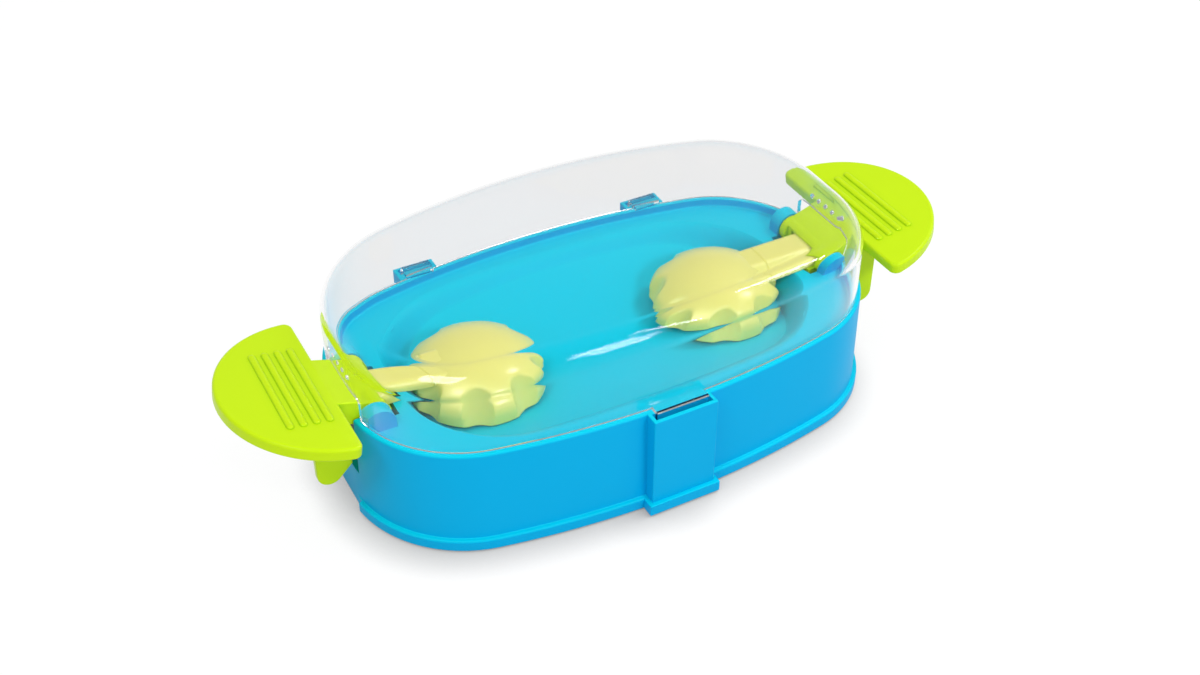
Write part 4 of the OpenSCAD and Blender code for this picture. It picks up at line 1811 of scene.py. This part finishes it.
@dataclass(frozen=True)
class Studio:
    """Plain white studio with the camera where the photograph was taken from."""

    eye: Vector = field(default_factory=lambda: mm(-270.3, -503.1, 493.8))
    aim: Vector = field(default_factory=lambda: mm(0.3, 2.7, 39.9))
    focal_px: float = 1493.0
    near_clip: float = 0.02
    far_clip: float = 40.0
    front: Vector = field(default_factory=lambda: mm(220, -840, 690))
    left: Vector = field(default_factory=lambda: mm(-600, -370, 870))
    right: Vector = field(default_factory=lambda: mm(710, -60, 870))
    top: Vector = field(default_factory=lambda: mm(400, -650, 800))
    ambient: float = 0.66
    ceiling: float = 0.4
    ceiling_start: float = 0.15
    ceiling_full: float = 0.5
    floor_half: float = 6.0
    floor_seen: float = 0.1
    floor_lift: float = 0.92
    floor_bounce: float = 0.65
    # Painted contact shadow: ambient occlusion within this reach, leaned to one side, dims the floor's
    # white glow.
    contact_reach: float = 24 * MM
    contact_dark: float = 0.46
    contact_full: float = 0.3
    contact_open: float = 0.9
    contact_lean_x: float = 0.45
    contact_lean_y: float = 0.3
    contact_samples: int = 16
    # Painted shade under the tub: ambient occlusion over a long reach dims the floor's glow where the tub
    # covers it.
    inside_reach: float = 130 * MM
    inside_dark: float = 0.06
    inside_full: float = 0.12
    inside_open: float = 0.22
    inside_samples: int = 5

    def build(self) -> None:
        """Make the camera, the world, the lamps and the floor."""
        self.camera()
        self.world()
        self.lamps()
        self.floor()
        bpy.context.scene.view_settings.view_transform = "Standard"

    def hang(self, name: str, data: bpy.types.ID, place: Vector) -> Piece:
        """Put a camera or a lamp in its place, facing the toy.

        Args:
            name: Name of the object.
            data: Its camera or lamp.
            place: Where it hangs.

        Returns:
            The new object.
        """
        made = bpy.data.objects.new(name, data)
        made.location = place
        made.rotation_euler = (self.aim - place).to_track_quat("-Z", "Y").to_euler()
        bpy.context.scene.collection.objects.link(made)
        return made

    def camera(self) -> None:
        """Place the camera."""
        data = bpy.data.cameras.new("photo_camera")
        data.sensor_width = SENSOR_MM
        data.lens = self.focal_px / PHOTO_WIDTH_PX * SENSOR_MM
        data.clip_start = self.near_clip
        data.clip_end = self.far_clip
        bpy.context.scene.camera = self.hang("photo_camera", data, self.eye)

    def world(self) -> None:
        """Even light all round, white where it is seen, under a grey ceiling."""
        made = bpy.data.worlds.new("white_room")
        made.use_nodes = True
        bench = NodeBench(made.node_tree)
        lit = bench.add("Background", Color=WHITE, Strength=self.ambient)
        place = bench.add("TexCoord").outputs["Generated"]
        height = bench.add("SeparateXYZ", Vector=place).outputs["Z"]
        overhead = bench.ranged(height, From_Min=self.ceiling_start, From_Max=self.ceiling_full)
        seen = bench.add("Background", Color=bench.blend(overhead, WHITE, grey(self.ceiling)), Strength=1.0)
        bench.finish(bench.mixed(bench.seen_directly(), lit, seen), "OutputWorld")
        bpy.context.scene.world = made

    def lamp(self, name: str, place: Vector, width: float, height: float, power: float) -> Piece:
        """Hang one softbox that faces the toy.

        Args:
            name: Name of the lamp.
            place: Where it hangs.
            width: Width in metres.
            height: Height in metres.
            power: Power in watts.

        Returns:
            The lamp.
        """
        data = bpy.data.lights.new(name, "AREA")
        data.shape = "RECTANGLE"
        data.size = width
        data.size_y = height
        data.energy = power
        return self.hang(name, data, place)

    def lamps(self) -> None:
        """Hang the softboxes."""
        self.lamp("front_box", self.front, width=0.3, height=0.15, power=3.2)
        self.lamp("left_box", self.left, width=0.3, height=0.15, power=2.2)
        self.lamp("right_box", self.right, width=0.15, height=0.15, power=2.4)

    def cards(self, polished: Piece) -> None:
        """Hang white cards that only show as bars of light in a polished piece.

        Args:
            polished: The piece that mirrors them.
        """
        shine = bpy.data.collections.new("polished")
        shine.objects.link(polished)
        for made in (
            self.lamp("front_card", self.front, width=0.2, height=0.4, power=12.0),
            self.lamp("left_card", self.left, width=0.5, height=0.4, power=30.0),
            self.lamp("right_card", self.right, width=0.1, height=0.3, power=5.0),
            self.lamp("top_card", self.top, width=0.05, height=0.5, power=4.0),
        ):
            made.light_linking.receiver_collection = shine
            made.visible_diffuse = False
            made.visible_transmission = False

    def floor(self) -> None:
        """Lay a pale floor that shows white, with a painted soft contact shadow round the tub and painted
        shade inside it.
        """
        bm = bmesh.new()
        bmesh.ops.create_grid(bm, x_segments=1, y_segments=1, size=self.floor_half)
        made = Bench.piece("floor", bm)
        material, bench = NodeBench.material("pale_floor")
        bounce = bench.add("BsdfDiffuse", Color=grey(self.floor_bounce))
        soft = bench.add("BsdfDiffuse", Color=grey(self.floor_seen))
        lean = bench.add("CombineXYZ", X=self.contact_lean_x, Y=self.contact_lean_y, Z=1.0).outputs[0]
        # Painted contact shadow: the floor's glow is dimmed where leaned ambient occlusion finds the tub
        # near.
        painted_contact_shadow = bench.ranged(
            bench.openness(self.contact_reach, self.contact_samples, Normal=lean),
            From_Min=self.contact_full,
            From_Max=self.contact_open,
            To_Min=self.floor_lift * self.contact_dark,
            To_Max=self.floor_lift,
        )
        # Painted shade: the floor's glow goes dark where the tub closes over it.
        depth = bench.ranged(
            bench.openness(self.inside_reach, self.inside_samples),
            From_Min=self.inside_full,
            From_Max=self.inside_open,
            To_Min=self.inside_dark,
        )
        lift = bench.add("Emission", Color=WHITE, Strength=bench.maths("MULTIPLY", painted_contact_shadow, depth))
        both = bench.add("AddShader")
        for socket, shader in zip(both.inputs, (soft, lift)):
            bench.give(socket, shader.outputs[0])
        bench.finish(bench.mixed(bench.seen_directly(), bounce, both))
        made.data.materials.append(material)


class Toy:
    """The whole toy: its mouldings and finishes on the packed bodies."""

    def __init__(self, frame: dict) -> None:
        """Keep the packed frame and make the finishes.
        """
        self.nodes: dict[str, Piece] = frame["nodes"]
        levers = [joint for joint in frame["record"]["behaviour"]["joints"] if "press" in joint["name"]]
        self.shift = at(y=levers[0]["pos_m"][1])
        self.sizes = ToySizes()
        self.finishes = {finish.name: finish.material() for finish in vars(Finishes()).values()}

    def build(self) -> Piece:
        """Make every moulding and finish the small parts.

        Returns:
            The clear cover.
        """
        self.place(BaseTub(self.sizes).build(), "blue_plastic", "base", "base_shell")
        cover = ClearCover(self.sizes).build()
        self.place(cover, "clear_plastic", "cover", "clear_cover")
        for shape, slot, word in (
            (Paddle(self.sizes).build(), "lime_plastic", "paddle"),
            (Paw(self.sizes).build(), "yellow_plastic", "paw"),
        ):
            for side, piece in ((Side.LEFT, Bench.mirrored(shape)), (Side.RIGHT, shape)):
                node = f"{side.word}_{word}"
                piece.name = f"{node}_moulding"
                self.place(piece, slot, f"{side.word}_lever", node)
        for name, node in self.nodes.items():
            if "axle" in name or "screw" in name:
                self.finish(node, "plated_steel")
            elif "foot" in name:
                self.finish(node, "foot_rubber")
        return cover

    def finish(self, target: Piece, name: str) -> None:
        """Give a piece or a packed node one of the finishes."""
        target.data.materials.clear()
        target.data.materials.append(self.finishes[name])

    def place(self, target: Piece, slot: str, body: str, node: str) -> None:
        """Move a moulding into the packed frame and dress it.

        Args:
            target: Moulding, centred on the base's plan.
            slot: Material slot of the record, which names its finish.
            body: Body that it moves with.
            node: Node that it replaces.
        """
        target.data.transform(Matrix.Translation(self.shift))
        self.finish(target, slot)
        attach(target, body)
        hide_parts(node)
        LOG.info("%s rides on %s with %d faces", target.name, body, len(target.data.polygons))


def main() -> None:
    """Build the looks round the packed frame."""
    logging.basicConfig(level=logging.INFO, format="%(message)s")
    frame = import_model()
    studio = Studio()
    studio.build()
    studio.cards(Toy(frame).build())


if __name__ == "__main__":
    main()
